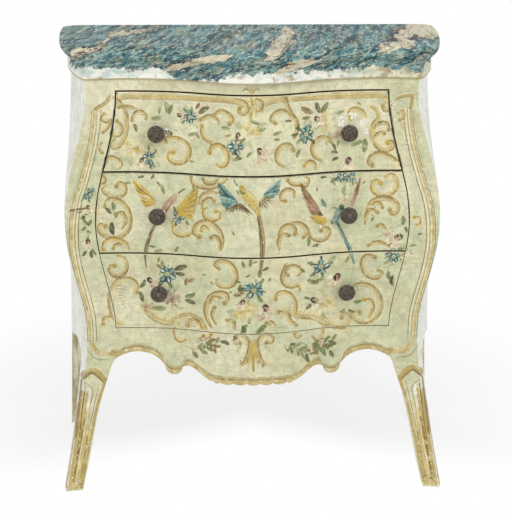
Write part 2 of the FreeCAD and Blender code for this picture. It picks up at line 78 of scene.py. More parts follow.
# ---------------------------------------------------------------- node trees
class Bench:
    """Adds and joins the nodes of one shader or geometry tree."""

    def __init__(self, tree: bpy.types.NodeTree) -> None:
        """Keeps the tree to work on."""
        self.tree = tree

    def feed(self, node: bpy.types.Node, feeds: dict[Any, Any]) -> None:
        """Sets inputs of a node.

        Args:
            node: The node.
            feeds: Input name or index to a value, or to the socket that feeds it.
        """
        for key, value in feeds.items():
            if isinstance(value, Socket):
                self.tree.links.new(value, node.inputs[key])
            else:
                node.inputs[key].default_value = value

    def add(self, kind: str, feeds: dict[Any, Any] | None = None, **settings: Any) -> bpy.types.Node:
        """Adds one node.

        Args:
            kind: The node's type name.
            feeds: Its inputs, as for feed.
            **settings: Properties of the node, set before its inputs.

        Returns:
            The new node.
        """
        node = self.tree.nodes.new(kind)
        for key, value in settings.items():
            setattr(node, key, value)
        self.feed(node, feeds or {})
        return node

    def math(self, operation: str, a: Any, b: Any = 0.0, clamp: bool = False) -> Socket:
        """One sum, as the socket of its result."""
        return self.add("ShaderNodeMath", {0: a, 1: b}, operation=operation, use_clamp=clamp).outputs[0]

    def times(self, a: Any, b: Any, clamp: bool = False) -> Socket:
        """One value times another."""
        return self.math("MULTIPLY", a, b, clamp)

    def plus(self, a: Any, b: Any) -> Socket:
        """One value and another together."""
        return self.math("ADD", a, b)

    def minus(self, a: Any, b: Any, clamp: bool = False) -> Socket:
        """One value less another."""
        return self.math("SUBTRACT", a, b, clamp)

    def vector(self, operation: str, a: Any, b: Any = (0.0, 0.0, 0.0)) -> Any:
        """One vector sum, as its outputs."""
        return self.add("ShaderNodeVectorMath", {0: a, 1: b}, operation=operation).outputs

    def scaled(self, vector: Socket, factor: Any) -> Socket:
        """A vector times a number."""
        return self.add("ShaderNodeVectorMath", {0: vector, "Scale": factor}, operation="SCALE").outputs[0]

    def parts(self, place: Socket) -> Any:
        """X, Y and Z of a place, as sockets."""
        return self.add("ShaderNodeSeparateXYZ", {0: place}).outputs

    def joined(self, x: Any, y: Any, z: Any = 0.0) -> Socket:
        """A place from its X, Y and Z."""
        return self.add("ShaderNodeCombineXYZ", {0: x, 1: y, 2: z}).outputs[0]

    def mix(self, share: Any, a: Any, b: Any, blend: str = "MIX") -> Socket:
        """Two colours mixed by a share."""
        first, second = (value if isinstance(value, Socket) else rgba(value) for value in (a, b))
        node = self.add("ShaderNodeMix", {0: share, 6: first, 7: second}, data_type="RGBA", blend_type=blend)
        return node.outputs[2]

    def over(self, colour: Any, tint: Any, mask: Any, share: float) -> Socket:
        """A tint laid over a colour where a mask is, with a share of full cover."""
        return self.mix(self.times(mask, share), colour, tint)

    def shaded(self, colour: Any, value: Socket) -> Socket:
        """A colour times a value."""
        grey = self.add("ShaderNodeCombineColor", {0: value, 1: value, 2: value}).outputs[0]
        return self.mix(1.0, colour, grey, "MULTIPLY")

    def span(self, value: Any, low: float, high: float, to_low: float = 0.0, to_high: float = 1.0,
             ease: str = "SMOOTHSTEP") -> Socket:
        """A value carried from one range into another and held inside it."""
        feeds = {0: value, 1: low, 2: high, 3: to_low, 4: to_high}
        return self.add("ShaderNodeMapRange", feeds, interpolation_type=ease).outputs[0]

    def noise(self, place: Any, scale: float, detail: float = 4.0, rough: float = 0.55,
              bend: float = 0.0, output: int | str = 0) -> Socket:
        """Cloudy noise, as one value or, where output is "Color", as a colour."""
        feeds = {"Vector": place, "Scale": scale, "Detail": detail, "Roughness": rough, "Distortion": bend}
        return self.add("ShaderNodeTexNoise", feeds).outputs[output]

    def stretch(self, place: Any, scale: Sequence[float] = (1.0, 1.0, 1.0),
                shift: Sequence[float] = (0.0, 0.0, 0.0), turn: Sequence[float] = (0.0, 0.0, 0.0)) -> Socket:
        """Coordinates turned, scaled and shifted."""
        feeds = {"Vector": place, "Location": shift, "Rotation": turn, "Scale": scale}
        return self.add("ShaderNodeMapping", feeds).outputs[0]

    def attribute(self, name: str, output: str = "Fac") -> Socket:
        """An attribute of the piece."""
        return self.add("ShaderNodeAttribute", attribute_name=name).outputs[output]


def shader_group(name: str, inputs: dict[str, Any], outputs: Sequence[str]) -> tuple[Bench, Any, Any]:
    """Starts a shader node group.

    Args:
        name: Name of the group.
        inputs: Input name to its default: a number, or three numbers for a vector.
        outputs: Names of its outputs, each a number.

    Returns:
        The bench on the group's tree, the sockets of its inputs and the node that takes its outputs.
    """
    tree = bpy.data.node_groups.new(name, "ShaderNodeTree")
    for key, value in inputs.items():
        kind = "NodeSocketFloat" if isinstance(value, (int, float)) else "NodeSocketVector"
        tree.interface.new_socket(name=key, in_out="INPUT", socket_type=kind).default_value = value
    for key in outputs:
        tree.interface.new_socket(name=key, in_out="OUTPUT", socket_type="NodeSocketFloat")
    bench = Bench(tree)
    return bench, bench.add("NodeGroupInput").outputs, bench.add("NodeGroupOutput")


def make_brush_marks() -> bpy.types.NodeTree:
    """Fine streaks that a brush leaves, along X, with a cross weave of fainter ones."""
    bench, given, out = shader_group(
        "brush_marks", {"Place": (0, 0, 0), "Length": 0.05, "Width": 0.0012}, ("Value",))
    long_scale = bench.math("DIVIDE", 1.0, given["Length"])
    fine_scale = bench.math("DIVIDE", 1.0, given["Width"])
    along = bench.joined(long_scale, long_scale, fine_scale)
    across = bench.joined(fine_scale, long_scale, long_scale)
    wander = bench.noise(given["Place"], 14.0, 2.0, 0.5, output="Color")
    place = bench.vector("ADD", given["Place"], bench.scaled(wander, 0.03))[0]
    first = bench.noise(bench.vector("MULTIPLY", place, along)[0], 1.0, 4.0, 0.65)
    second = bench.noise(bench.vector("MULTIPLY", place, across)[0], 1.0, 2.0)
    total = bench.plus(bench.times(first, 0.82), bench.times(second, 0.18))
    bench.feed(out, {"Value": total})
    return bench.tree


def make_crackle() -> bpy.types.NodeTree:
    """Fine cracks in old paint, which come and go in patches."""
    bench, given, out = shader_group(
        "crackle", {"Place": (0, 0, 0), "Cell": 0.012, "Crack": 0.05, "Cover": 0.5}, ("Mask",))
    scale = bench.math("DIVIDE", 1.0, given["Cell"])
    wobble = bench.noise(given["Place"], 160.0, 2.0, 0.5, output="Color")
    place = bench.vector("ADD", given["Place"], bench.scaled(wobble, 0.006))[0]
    cells = bench.add("ShaderNodeTexVoronoi", {"Vector": place, "Scale": scale}, feature="DISTANCE_TO_EDGE")
    line = bench.math("LESS_THAN", cells.outputs["Distance"], given["Crack"])
    patches = bench.noise(given["Place"], 22.0, 3.0)
    gate = bench.math("GREATER_THAN", patches, bench.minus(1.0, given["Cover"]))
    bench.feed(out, {"Mask": bench.times(line, gate)})
    return bench.tree


def make_chips() -> bpy.types.NodeTree:
    """Small places where paint has flaked off."""
    bench, given, out = shader_group("chips", {"Place": (0, 0, 0), "Size": 0.004, "Share": 0.3}, ("Mask",))
    scale = bench.math("DIVIDE", 1.0, given["Size"])
    small = bench.noise(given["Place"], scale, 5.0, 0.6)
    wide = bench.noise(given["Place"], bench.times(scale, 0.12), 3.0)
    limit = bench.minus(0.62, bench.times(given["Share"], 0.5))
    past = bench.minus(bench.times(small, wide), limit)
    bench.feed(out, {"Mask": bench.times(past, 40.0, clamp=True)})
    return bench.tree


def make_edge_wear() -> bpy.types.NodeTree:
    """Broken bands along the edges of a piece, where hands and cloths rub it."""
    bench, given, out = shader_group(
        "edge_wear", {"Place": (0, 0, 0), "Reach": 0.002, "Amount": 1.0}, ("Mask",))
    soft = bench.add("ShaderNodeBevel", {"Radius": given["Reach"]}, samples=4).outputs[0]
    hard = bench.add("ShaderNodeNewGeometry").outputs["Normal"]
    bend = bench.minus(1.0, bench.vector("DOT_PRODUCT", soft, hard)["Value"])
    broken = bench.noise(given["Place"], 190.0, 4.0, 0.65)
    strength = bench.times(bend, bench.times(given["Amount"], 9.0))
    bench.feed(out, {"Mask": bench.times(strength, bench.span(broken, 0.36, 0.62), clamp=True)})
    return bench.tree


def make_vein() -> bpy.types.NodeTree:
    """One vein of painted marble between two points, with a dark rim round it."""
    bench, given, out = shader_group(
        "vein", {"Place": (0, 0, 0), "From": (0, 0, 0), "To": (1, 0, 0), "Width": 0.01}, ("Mask", "Rim"))
    run = bench.vector("SUBTRACT", given["To"], given["From"])[0]
    back = bench.vector("SUBTRACT", given["Place"], given["From"])[0]
    length = bench.vector("DOT_PRODUCT", run, run)["Value"]
    share = bench.math("DIVIDE", bench.vector("DOT_PRODUCT", back, run)["Value"], length, clamp=True)
    gap = bench.vector("LENGTH", bench.vector("SUBTRACT", back, bench.scaled(run, share))[0])["Value"]
    taper = bench.minus(1.0, bench.times(share, 0.55))
    depth = bench.minus(bench.times(given["Width"], taper), gap)
    nearby = bench.math("ABSOLUTE", bench.plus(depth, 0.0012))
    bench.feed(out, {"Mask": bench.span(depth, -0.0008, 0.0012),
                     "Rim": bench.span(nearby, 0.0002, 0.0022, 1.0, 0.0)})
    return bench.tree


class Effects:
    """Shader groups that several finishes share, each built once."""

    def __init__(self) -> None:
        """Builds every group."""
        self.brush_marks = make_brush_marks()
        self.crackle = make_crackle()
        self.chips = make_chips()
        self.edge_wear = make_edge_wear()
        self.vein = make_vein()

    @staticmethod
    def place(bench: Bench, group: bpy.types.NodeTree, feeds: dict[str, Any], output: str = "Mask") -> Socket:
        """Puts a group into a material and gives one of its outputs."""
        return bench.add("ShaderNodeGroup", feeds, node_tree=group).outputs[output]


def start_material(name: str) -> tuple[bpy.types.Material, Bench, bpy.types.Node, Socket]:
    """Starts a material.

    Args:
        name: Name of the material.

    Returns:
        The material, the bench on its tree, its Principled node and the object coordinates.
    """
    material = bpy.data.materials.new(name)
    material.use_nodes = True
    bench = Bench(material.node_tree)
    shader = material.node_tree.nodes["Principled BSDF"]
    place = bench.add("ShaderNodeTexCoord").outputs["Object"]
    return material, bench, shader, place


def finish_surface(bench: Bench, shader: bpy.types.Node, colour: Socket, rough: Socket, height: Socket,
                   depth: float, specular: float = 0.5) -> None:
    """Joins colour, roughness and bump to the shader.

    Args:
        bench: Bench of the material.
        shader: Its Principled node.
        colour: Its colour.
        rough: Its roughness.
        height: Height of the bump.
        depth: How deep the bump goes, in metres.
        specular: Its specular level.
    """
    bump = bench.add("ShaderNodeBump", {"Strength": BUMP_SHARE, "Distance": depth, "Height": height})
    bench.feed(shader, {"Base Color": colour, "Roughness": rough, "Specular IOR Level": specular,
                        "Normal": bump.outputs[0]})


# ---------------------------------------------------------------- finishes
@dataclass(frozen=True)
class AgedPaint:
    """Old pale green paint over gesso, brushed on, crackled, yellowed, grimy and rubbed at the edges, with
    painted light making the sides and back paler and, on drawer fronts, painted shade on the edges that face
    the gaps.
    """

    name: str
    green: Colour = (0.560, 0.580, 0.360)
    cream: Colour = (0.770, 0.720, 0.500)
    warm: Colour = (0.650, 0.550, 0.310)
    # pale colour of the sides and back: painted light, paler than the front
    side: Colour = (0.880, 0.890, 0.820)
    rear_leg: Colour = (0.40, 0.33, 0.17)
    # near black painted shade for the drawer fronts' edges that face the gaps
    gap_shade_colour: Colour = (0.070, 0.050, 0.032)
    gesso: Colour = (0.840, 0.810, 0.700)
    grime: Colour = (0.225, 0.185, 0.105)
    painted_light_side_from: float = 0.62
    paints_gap_shade: bool = False

    def ground(self, bench: Bench, place: Socket, yellowed: Socket) -> Socket:
        """Green clouded with cream, more of it high up and down the legs, and yellowed in places."""
        tall = bench.parts(place)[2]
        upper = bench.span(tall, 0.50, 0.80, -0.02, 0.10, "LINEAR")
        broad = bench.plus(bench.noise(place, 7.5, 5.0, 0.62, 0.5), upper)
        colour = bench.mix(bench.span(broad, 0.34, 0.72, 0.0, 0.85), self.green, self.cream)
        colour = bench.mix(bench.span(tall, 0.245, 0.130, 0.0, 0.75), colour, self.cream)
        return bench.over(colour, self.warm, yellowed, 0.60)

    def flanks_with_painted_light(self, bench: Bench, place: Socket, yellowed: Socket, sideways: Socket,
               front: Socket) -> Socket:
        """The front's colour with a pale wash of painted light on both sides and towards the back, and worn
        ochre on the rear legs.
        """
        spot = bench.parts(place)
        # Painted light: faces that turn sideways, and all that lies towards the back, get the paler side
        # colour, standing in for light on the sides and lifting the shade under the chest.
        painted_light_flank = bench.span(bench.math("ABSOLUTE", sideways), self.painted_light_side_from, self.painted_light_side_from + 0.2)
        painted_light_flank = bench.math("MAXIMUM", painted_light_flank, bench.span(spot[1], 0.02, 0.06))
        colour = bench.mix(painted_light_flank, front, bench.over(self.side, self.cream, yellowed, 0.6))
        rear = bench.times(bench.span(spot[1], 0.12, 0.16), bench.span(spot[2], 0.36, 0.31))
        worn = bench.span(bench.noise(bench.stretch(place, (9, 9, 1)), 9.0, 5.0, 0.7), 0.42, 0.60)
        return bench.over(colour, bench.mix(worn, self.rear_leg, self.cream), rear, 0.9)

    def dirt(self, bench: Bench, place: Socket, cracks: Socket, colour: Socket) -> Socket:
        """The colour under scratches, specks, smudges and dark cracks."""
        scratched = bench.noise(bench.stretch(place, (9.0, 9.0, 260.0), (0.3, 0.0, 0.9)), 1.0, 3.0, 0.6)
        patches = bench.span(bench.noise(place, 18.0), 0.46, 0.60)
        scratches = bench.times(bench.span(scratched, 0.60, 0.68), patches)
        specks = bench.span(bench.noise(place, 420.0, 3.0, 0.7), 0.58, 0.74)
        cloudy = bench.noise(bench.stretch(place, shift=(0.7, 0.2, 4.4)), 24.0, 6.0, 0.72)
        smudges = bench.span(cloudy, 0.55, 0.76)
        for mask, share in ((scratches, 0.35), (specks, 0.26), (smudges, 0.34), (cracks, 0.24)):
            colour = bench.over(colour, self.grime, mask, share)
        return colour

    def build(self, effects: Effects) -> bpy.types.Material:
        """Makes the material."""
        material, bench, shader, place = start_material(self.name)
        facing = bench.parts(bench.add("ShaderNodeTexCoord").outputs["Normal"])
        yellowed = bench.noise(bench.stretch(place, shift=(3.1, 0.0, 1.7)), 13.0, 6.0, 0.68)
        yellowed = bench.span(yellowed, 0.47, 0.72)
        colour = self.flanks_with_painted_light(bench, place, yellowed, facing[0], self.ground(bench, place, yellowed))
        mottle = bench.span(bench.noise(place, 70.0, 5.0, 0.66), 0.32, 0.68, 0.84, 1.13, "LINEAR")
        marks = effects.place(bench, effects.brush_marks, {"Place": place}, "Value")
        shade = bench.times(bench.span(marks, 0.32, 0.68, 0.88, 1.08, "LINEAR"), mottle)
        crackle = {"Place": place, "Cell": 0.011, "Crack": 0.035, "Cover": 0.52}
        cracks = effects.place(bench, effects.crackle, crackle)
        colour = self.dirt(bench, place, cracks, bench.shaded(colour, shade))
        wear = effects.place(bench, effects.edge_wear, {"Place": place, "Reach": 0.0026, "Amount": 1.1})
        colour = bench.over(colour, self.warm, wear, 0.75)
        flakes = effects.place(bench, effects.chips, {"Place": place, "Size": 0.0045, "Share": 0.42})
        colour = bench.mix(flakes, colour, self.gesso)
        # Painted shade: faces of a drawer front that turn away from the front, its ends and edges in the
        # gaps, are painted near black so the gaps read dark.
        if self.paints_gap_shade:
            turned = bench.span(bench.times(facing[1], -1.0), 0.42, 0.52, 1.0, 0.0)
            colour = bench.mix(turned, colour, self.gap_shade_colour)
        hollows = bench.plus(bench.times(cracks, 0.5), bench.times(flakes, 0.6))
        height = bench.minus(marks, hollows)
        finish_surface(bench, shader, colour, bench.span(marks, 0.3, 0.7, 0.46, 0.60), height, 0.0004, 0.30)
        return material


@dataclass(frozen=True)
class Vein:
    """One pale vein or dark crack of the painted marble, from point to point of the sheet."""

    start: Point
    end: Point
    width: float


def vein_line(width: float, *points: Point) -> tuple[Vein, ...]:
    """Veins that join end to end through the given points."""
    return tuple(Vein(start, end, width) for start, end in zip(points, points[1:]))


@dataclass(frozen=True)
class MarbleSheet:
    """The decorator's flat sheet, laid up the mould and on over the top, with its slanting grain."""

    fall: float = 0.0857
    slant: float = -20.0
    grain_scale: tuple[float, float, float] = (100.0, 300.0, 1.0)

    def lay(self, bench: Bench, place: Socket) -> Socket:
        """Flat coordinates: X across, Y up the mould and then back over the top, where it runs slower."""
        spot = bench.parts(place)
        return bench.joined(spot[0], bench.plus(spot[2], bench.times(spot[1], self.fall)))

    def grain(self, bench: Bench, flat: Socket) -> Socket:
        """The sheet's coordinates turned along the grain, one unit to a fleck."""
        turned = bench.stretch(flat, turn=(0, 0, math.radians(self.slant)))
        return bench.stretch(turned, self.grain_scale)


@dataclass(frozen=True)
class PaintedMarble:
    """Blue-green painted marble, densely flecked, with beige veins and dark cracks rising to the right."""

    name: str
    blue: Colour = (0.105, 0.240, 0.262)
    deep: Colour = (0.023, 0.066, 0.086)
    teal: Colour = (0.270, 0.440, 0.400)
    green: Colour = (0.270, 0.330, 0.215)
    beige: Colour = (0.590, 0.550, 0.400)
    cream: Colour = (0.860, 0.840, 0.740)
    line: Colour = (0.030, 0.028, 0.026)
    vein_dark: Colour = (0.56, 0.46, 0.30)
    vein_light: Colour = (0.76, 0.70, 0.53)
    wash: Colour = (0.42, 0.56, 0.52)
    yellowed: Colour = (0.66, 0.60, 0.36)
    stain: Colour = (0.340, 0.255, 0.120)
    undercoat: Colour = (0.45, 0.38, 0.22)
    # dark gold of the painted shadow line along the moulding's foot
    foot: Colour = (0.34, 0.26, 0.11)
    sheet: MarbleSheet = MarbleSheet()
    cream_below: float = 0.0
    shadow_line_below: float = 0.0
    veins: tuple[Vein, ...] = ()
    cracks: tuple[Vein, ...] = ()

    def run_veins(self, bench: Bench, effects: Effects, flat: Socket,
                  veins: Sequence[Vein]) -> tuple[Any, Any]:
        """The masks of several veins and of their rims."""
        mask: Any = 0.0
        rim: Any = 0.0
        for vein in veins:
            feeds = {"Place": flat, "From": (*vein.start, 0.0), "To": (*vein.end, 0.0), "Width": vein.width}
            node = bench.add("ShaderNodeGroup", feeds, node_tree=effects.vein)
            mask = bench.math("MAXIMUM", mask, node.outputs["Mask"])
            rim = bench.math("MAXIMUM", rim, node.outputs["Rim"])
        return mask, rim

    def ground(self, bench: Bench, grain: Socket) -> Socket:
        """Clouds of the blues and greens under a dense cover of slanting flecks."""
        clouds = bench.span(bench.noise(grain, 0.17, 6.0, 0.62, 0.6), 0.40, 0.58)
        colour = bench.mix(clouds, self.deep, self.blue)
        for shift, scale, low, high, tint, share in (
                (3.1, 0.26, 0.50, 0.60, self.green, 0.75), (5.3, 0.42, 0.49, 0.58, self.teal, 0.80),
                (7.7, 0.60, 0.53, 0.58, self.deep, 0.80), (9.2, 0.75, 0.555, 0.61, self.beige, 0.55),
                (11.9, 1.40, 0.57, 0.63, self.cream, 0.55), (14.3, 1.20, 0.56, 0.62, self.deep, 0.72)):
            moved = bench.stretch(grain, shift=(shift, 2.0 * shift, 0.5 * shift))
            flecks = bench.span(bench.noise(moved, scale, 4.0, 0.62, 0.3), low, high)
            colour = bench.over(colour, tint, flecks, share)
        return colour

    def cream_foot(self, bench: Bench, effects: Effects, place: Socket, colour: Socket) -> Socket:
        """Worn cream with ragged remains of the blue, below a wavy height, over a dark-gold line of painted
        shadow along the moulding's foot.
        """
        wide, _, tall = bench.parts(place)
        ragged = bench.times(bench.minus(bench.noise(place, 34.0, 8.0, 0.74), 0.5), 0.050)
        waves = bench.times(bench.minus(bench.noise(place, 6.5, 2.0), 0.5), 0.020)
        left = bench.math("ABSOLUTE", bench.plus(wide, 0.095))
        edge = bench.plus(tall, bench.plus(ragged, waves))
        edge = bench.plus(edge, bench.span(left, 0.020, 0.085, 0.014, 0.0))
        low = bench.span(edge, self.cream_below + 0.0012, self.cream_below - 0.0012)
        wash = bench.span(bench.noise(bench.stretch(place, (0.5, 0.5, 1.0)), 46.0, 6.0, 0.7), 0.47, 0.58)
        pale = bench.over(self.cream, self.wash, wash, 0.72)
        pale = bench.mix(bench.span(wide, 0.12, 0.24, 0.0, 0.55), pale, self.yellowed)
        right = bench.span(bench.math("ABSOLUTE", bench.minus(wide, 0.265)), 0.03, 0.07, 0.10, 0.0)
        stain = bench.span(bench.plus(bench.noise(place, 40.0, 6.0, 0.72), right), 0.57, 0.65)
        pale = bench.over(pale, self.stain, stain, 0.70)
        flakes = effects.place(bench, effects.chips, {"Place": place, "Size": 0.006, "Share": 0.46})
        colour = bench.mix(flakes, bench.mix(low, colour, pale), self.undercoat)
        # Painted shadow: a dark-gold line along the moulding's lowest few millimetres, where it stands out
        # over the rail.
        foot = bench.span(tall, self.shadow_line_below + 0.0012, self.shadow_line_below - 0.0008)
        return bench.over(colour, self.foot, foot, 0.85)

    def veined(self, bench: Bench, effects: Effects, place: Socket, flat: Socket, grain: Socket,
               colour: Socket) -> Socket:
        """The colour under beige veins with dark rims, and dark cracks."""
        wobble = bench.noise(grain, 0.34, 6.0, 0.68, output="Color")
        middle = bench.vector("SUBTRACT", wobble, (0.5, 0.5, 0.5))[0]
        bent = bench.vector("ADD", flat, bench.vector("MULTIPLY", middle, (0.070, 0.024, 0.0))[0])[0]
        vein_mask, rim_mask = self.run_veins(bench, effects, bent, self.veins)
        streaks = bench.span(bench.noise(grain, 0.5, 5.0, 0.7), 0.36, 0.60)
        colour = bench.over(colour, bench.mix(streaks, self.vein_dark, self.vein_light), vein_mask, 0.92)
        broken = bench.span(bench.noise(place, 60.0, 4.0, 0.65), 0.47, 0.56)
        colour = bench.mix(bench.times(rim_mask, broken), colour, self.line)
        crack_mask, _ = self.run_veins(bench, effects, bent, self.cracks)
        return bench.over(colour, self.line, crack_mask, 0.85)

    def build(self, effects: Effects) -> bpy.types.Material:
        """Makes the material."""
        material, bench, shader, place = start_material(self.name)
        flat = self.sheet.lay(bench, place)
        grain = self.sheet.grain(bench, flat)
        colour = self.veined(bench, effects, place, flat, grain, self.ground(bench, grain))
        ridge = bench.math("ABSOLUTE", bench.minus(bench.noise(grain, 0.13, 5.0, 0.62, 0.8), 0.5))
        patches = bench.span(bench.noise(grain, 0.2, 3.0), 0.47, 0.55)
        threads = bench.times(bench.span(ridge, 0.0, 0.012, 1.0, 0.0), patches)
        colour = bench.over(colour, self.line, threads, 0.75)
        marks = effects.place(bench, effects.brush_marks, {"Place": place, "Width": 0.002}, "Value")
        if self.cream_below:
            colour = self.cream_foot(bench, effects, place, colour)
        finish_surface(bench, shader, colour, bench.span(marks, 0.3, 0.7, 0.50, 0.66), marks, 0.0003, 0.10)
        return material


@dataclass(frozen=True)
class OchreLine:
    """Ochre paint with darker glaze in the hollows, for beads and lines."""

    name: str
    ochre: Colour = (0.450, 0.338, 0.125)
    pale: Colour = (0.650, 0.540, 0.285)
    dark: Colour = (0.150, 0.090, 0.035)
    gesso: Colour = (0.74, 0.72, 0.58)

    def build(self, effects: Effects) -> bpy.types.Material:
        """Makes the material."""
        material, bench, shader, place = start_material(self.name)
        rubbed = bench.span(bench.noise(place, 60.0, 6.0, 0.7), 0.38, 0.62)
        glaze = bench.span(bench.noise(bench.stretch(place, (1, 1, 0.3)), 230.0, 4.0, 0.7), 0.55, 0.70)
        colour = bench.over(bench.mix(rubbed, self.ochre, self.pale), self.dark, glaze, 0.6)
        marks = effects.place(bench, effects.brush_marks, {"Place": place}, "Value")
        flakes = effects.place(bench, effects.chips, {"Place": place, "Size": 0.004, "Share": 0.5})
        colour = bench.mix(flakes, colour, self.gesso)
        finish_surface(bench, shader, colour, bench.span(marks, 0.3, 0.7, 0.4, 0.56), marks, 0.0004, 0.25)
        return material


@dataclass(frozen=True)
class Brushwork:
    """Thin paint of the ornament, with bristle streaks and broken edges, worn as the ground is."""

    name: str
    worn_share: float = 0.42

    def build(self, effects: Effects) -> bpy.types.Material:
        """Makes the material."""
        material, bench, shader, place = start_material(self.name)
        across = bench.attribute("across")
        laid = bench.joined(bench.times(bench.attribute("along"), 45.0),
                            bench.times(across, 2.6), bench.attribute("seed"))
        bristles = bench.noise(laid, 1.0, 3.0, 0.6)
        streaks = bench.span(bristles, 0.30, 0.70, 0.74, 1.22, "LINEAR")
        clouds = bench.span(bench.noise(place, 55.0, 3.0), 0.35, 0.65, 0.88, 1.10, "LINEAR")
        colour = bench.shaded(bench.shaded(bench.attribute("tint", "Color"), streaks), clouds)
        frayed = bench.times(bench.minus(bench.noise(place, 620.0, 3.0, 0.65), 0.5), 0.9)
        rim = bench.minus(1.0, bench.math("ABSOLUTE", across))
        edge = bench.span(bench.plus(rim, frayed), 0.02, 0.28)
        thin = bench.span(bristles, 0.28, 0.50, 0.62, 1.0)
        rubbed = bench.span(bench.noise(place, 130.0, 5.0, 0.68), 0.33, 0.48, 0.35, 1.0)
        chips = {"Place": place, "Size": 0.0045, "Share": self.worn_share}
        flakes = effects.place(bench, effects.chips, chips)
        path = bench.add("ShaderNodeLightPath").outputs
        unseen = bench.math("MAXIMUM", path["Is Shadow Ray"], path["Is Diffuse Ray"])
        alpha = edge
        for share in (thin, bench.attribute("cover"), rubbed, bench.minus(1.0, flakes),
                      bench.minus(1.0, unseen)):
            alpha = bench.times(alpha, share)
        bench.feed(shader, {"Alpha": alpha})
        rough = bench.span(bristles, 0.3, 0.7, 0.40, 0.56)
        finish_surface(bench, shader, colour, rough, bristles, 0.0002, 0.18)
        return material


@dataclass(frozen=True)
class WaxedTurning:
    """Dark stained and waxed wood of the knobs, with rings from the lathe, and painted shade that darkens
    them towards the rim as it turns away from view.
    """

    name: str
    dark: Colour = (0.040, 0.028, 0.020)
    worn: Colour = (0.21, 0.165, 0.110)
    rubbed: Colour = (0.30, 0.23, 0.155)
    rim: Colour = (0.012, 0.008, 0.006)

    def build(self, effects: Effects) -> bpy.types.Material:
        """Makes the material."""
        material, bench, shader, place = start_material(self.name)
        patch = bench.span(bench.noise(place, 210.0, 5.0, 0.65), 0.40, 0.66)
        wear = effects.place(bench, effects.edge_wear, {"Place": place, "Reach": 0.0012, "Amount": 1.2})
        colour = bench.over(bench.over(self.dark, self.worn, patch, 0.55), self.rubbed, wear, 0.8)
        # Painted shade: the colour darkens towards the rim as the knob's surface turns away from view.
        turned = bench.add("ShaderNodeLayerWeight", {"Blend": 0.5}).outputs["Facing"]
        colour = bench.mix(bench.span(turned, 0.30, 0.80, 0.0, 0.80), colour, self.rim)
        finish_surface(bench, shader, colour, bench.span(patch, 0, 1, 0.24, 0.42), patch, 0.0002, 0.40)
        return material


@dataclass(frozen=True)
class BareWood:
    """Old unpainted softwood with grain along one axis, darkened by dust."""

    name: str
    pale: Colour = (0.50, 0.345, 0.19)
    grain: Colour = (0.27, 0.165, 0.085)
    dust: Colour = (0.30, 0.25, 0.19)
    along: Sequence[float] = (0.06, 1.0, 1.0)

    def build(self, effects: Effects) -> bpy.types.Material:
        """Makes the material."""
        material, bench, shader, place = start_material(self.name)
        laid = bench.stretch(place, self.along)
        rings = bench.noise(laid, 60.0, 5.0, 0.6, 1.4)
        bands = bench.math("FRACT", bench.times(rings, 9.0))
        pores = bench.span(bench.noise(laid, 700.0, 3.0, 0.7), 0.58, 0.70)
        dust = bench.span(bench.noise(place, 14.0, 4.0), 0.45, 0.70)
        wear = effects.place(bench, effects.edge_wear, {"Place": place, "Reach": 0.0015, "Amount": 0.8})
        colour = bench.mix(bench.span(bands, 0.15, 0.9), self.pale, self.grain)
        for tint, mask, share in ((self.grain, pores, 0.4), (self.dust, dust, 0.45), (self.grain, wear, 0.4)):
            colour = bench.over(colour, tint, mask, share)
        finish_surface(bench, shader, colour, bench.span(bands, 0, 1, 0.62, 0.75), rings, 0.0005)
        return material


@dataclass(frozen=True)
class DullSteel:
    """Old steel of the knob screws, turned and a little rusted."""

    name: str
    steel: Colour = (0.42, 0.41, 0.39)
    rust: Colour = (0.20, 0.095, 0.045)

    def build(self, effects: Effects) -> bpy.types.Material:
        """Makes the material."""
        material, bench, shader, place = start_material(self.name)
        spots = bench.span(bench.noise(place, 420.0, 5.0, 0.65), 0.52, 0.64)
        bench.feed(shader, {"Metallic": bench.span(spots, 0, 1, 1.0, 0.2)})
        turned = {"Place": place, "Length": 0.004, "Width": 0.0003}
        marks = effects.place(bench, effects.brush_marks, turned, "Value")
        colour = bench.mix(spots, self.steel, self.rust)
        finish_surface(bench, shader, colour, bench.span(spots, 0, 1, 0.34, 0.7), marks, 0.00008)
        return material


# ---------------------------------------------------------------- dressing the carcass and drawers
class Finish(Enum):
    """The finishes of the chest, by the record's slot."""

    TOP = "marbled_top"
    MOULDING = "marbled_moulding"
    BODY = "painted_body"
    FRONT = "painted_drawer_front"
    KNOB = "turned_knob"
    SCREW = "steel_screw"
    BOARD = "thin_board"
    WOOD = "bare_wood"


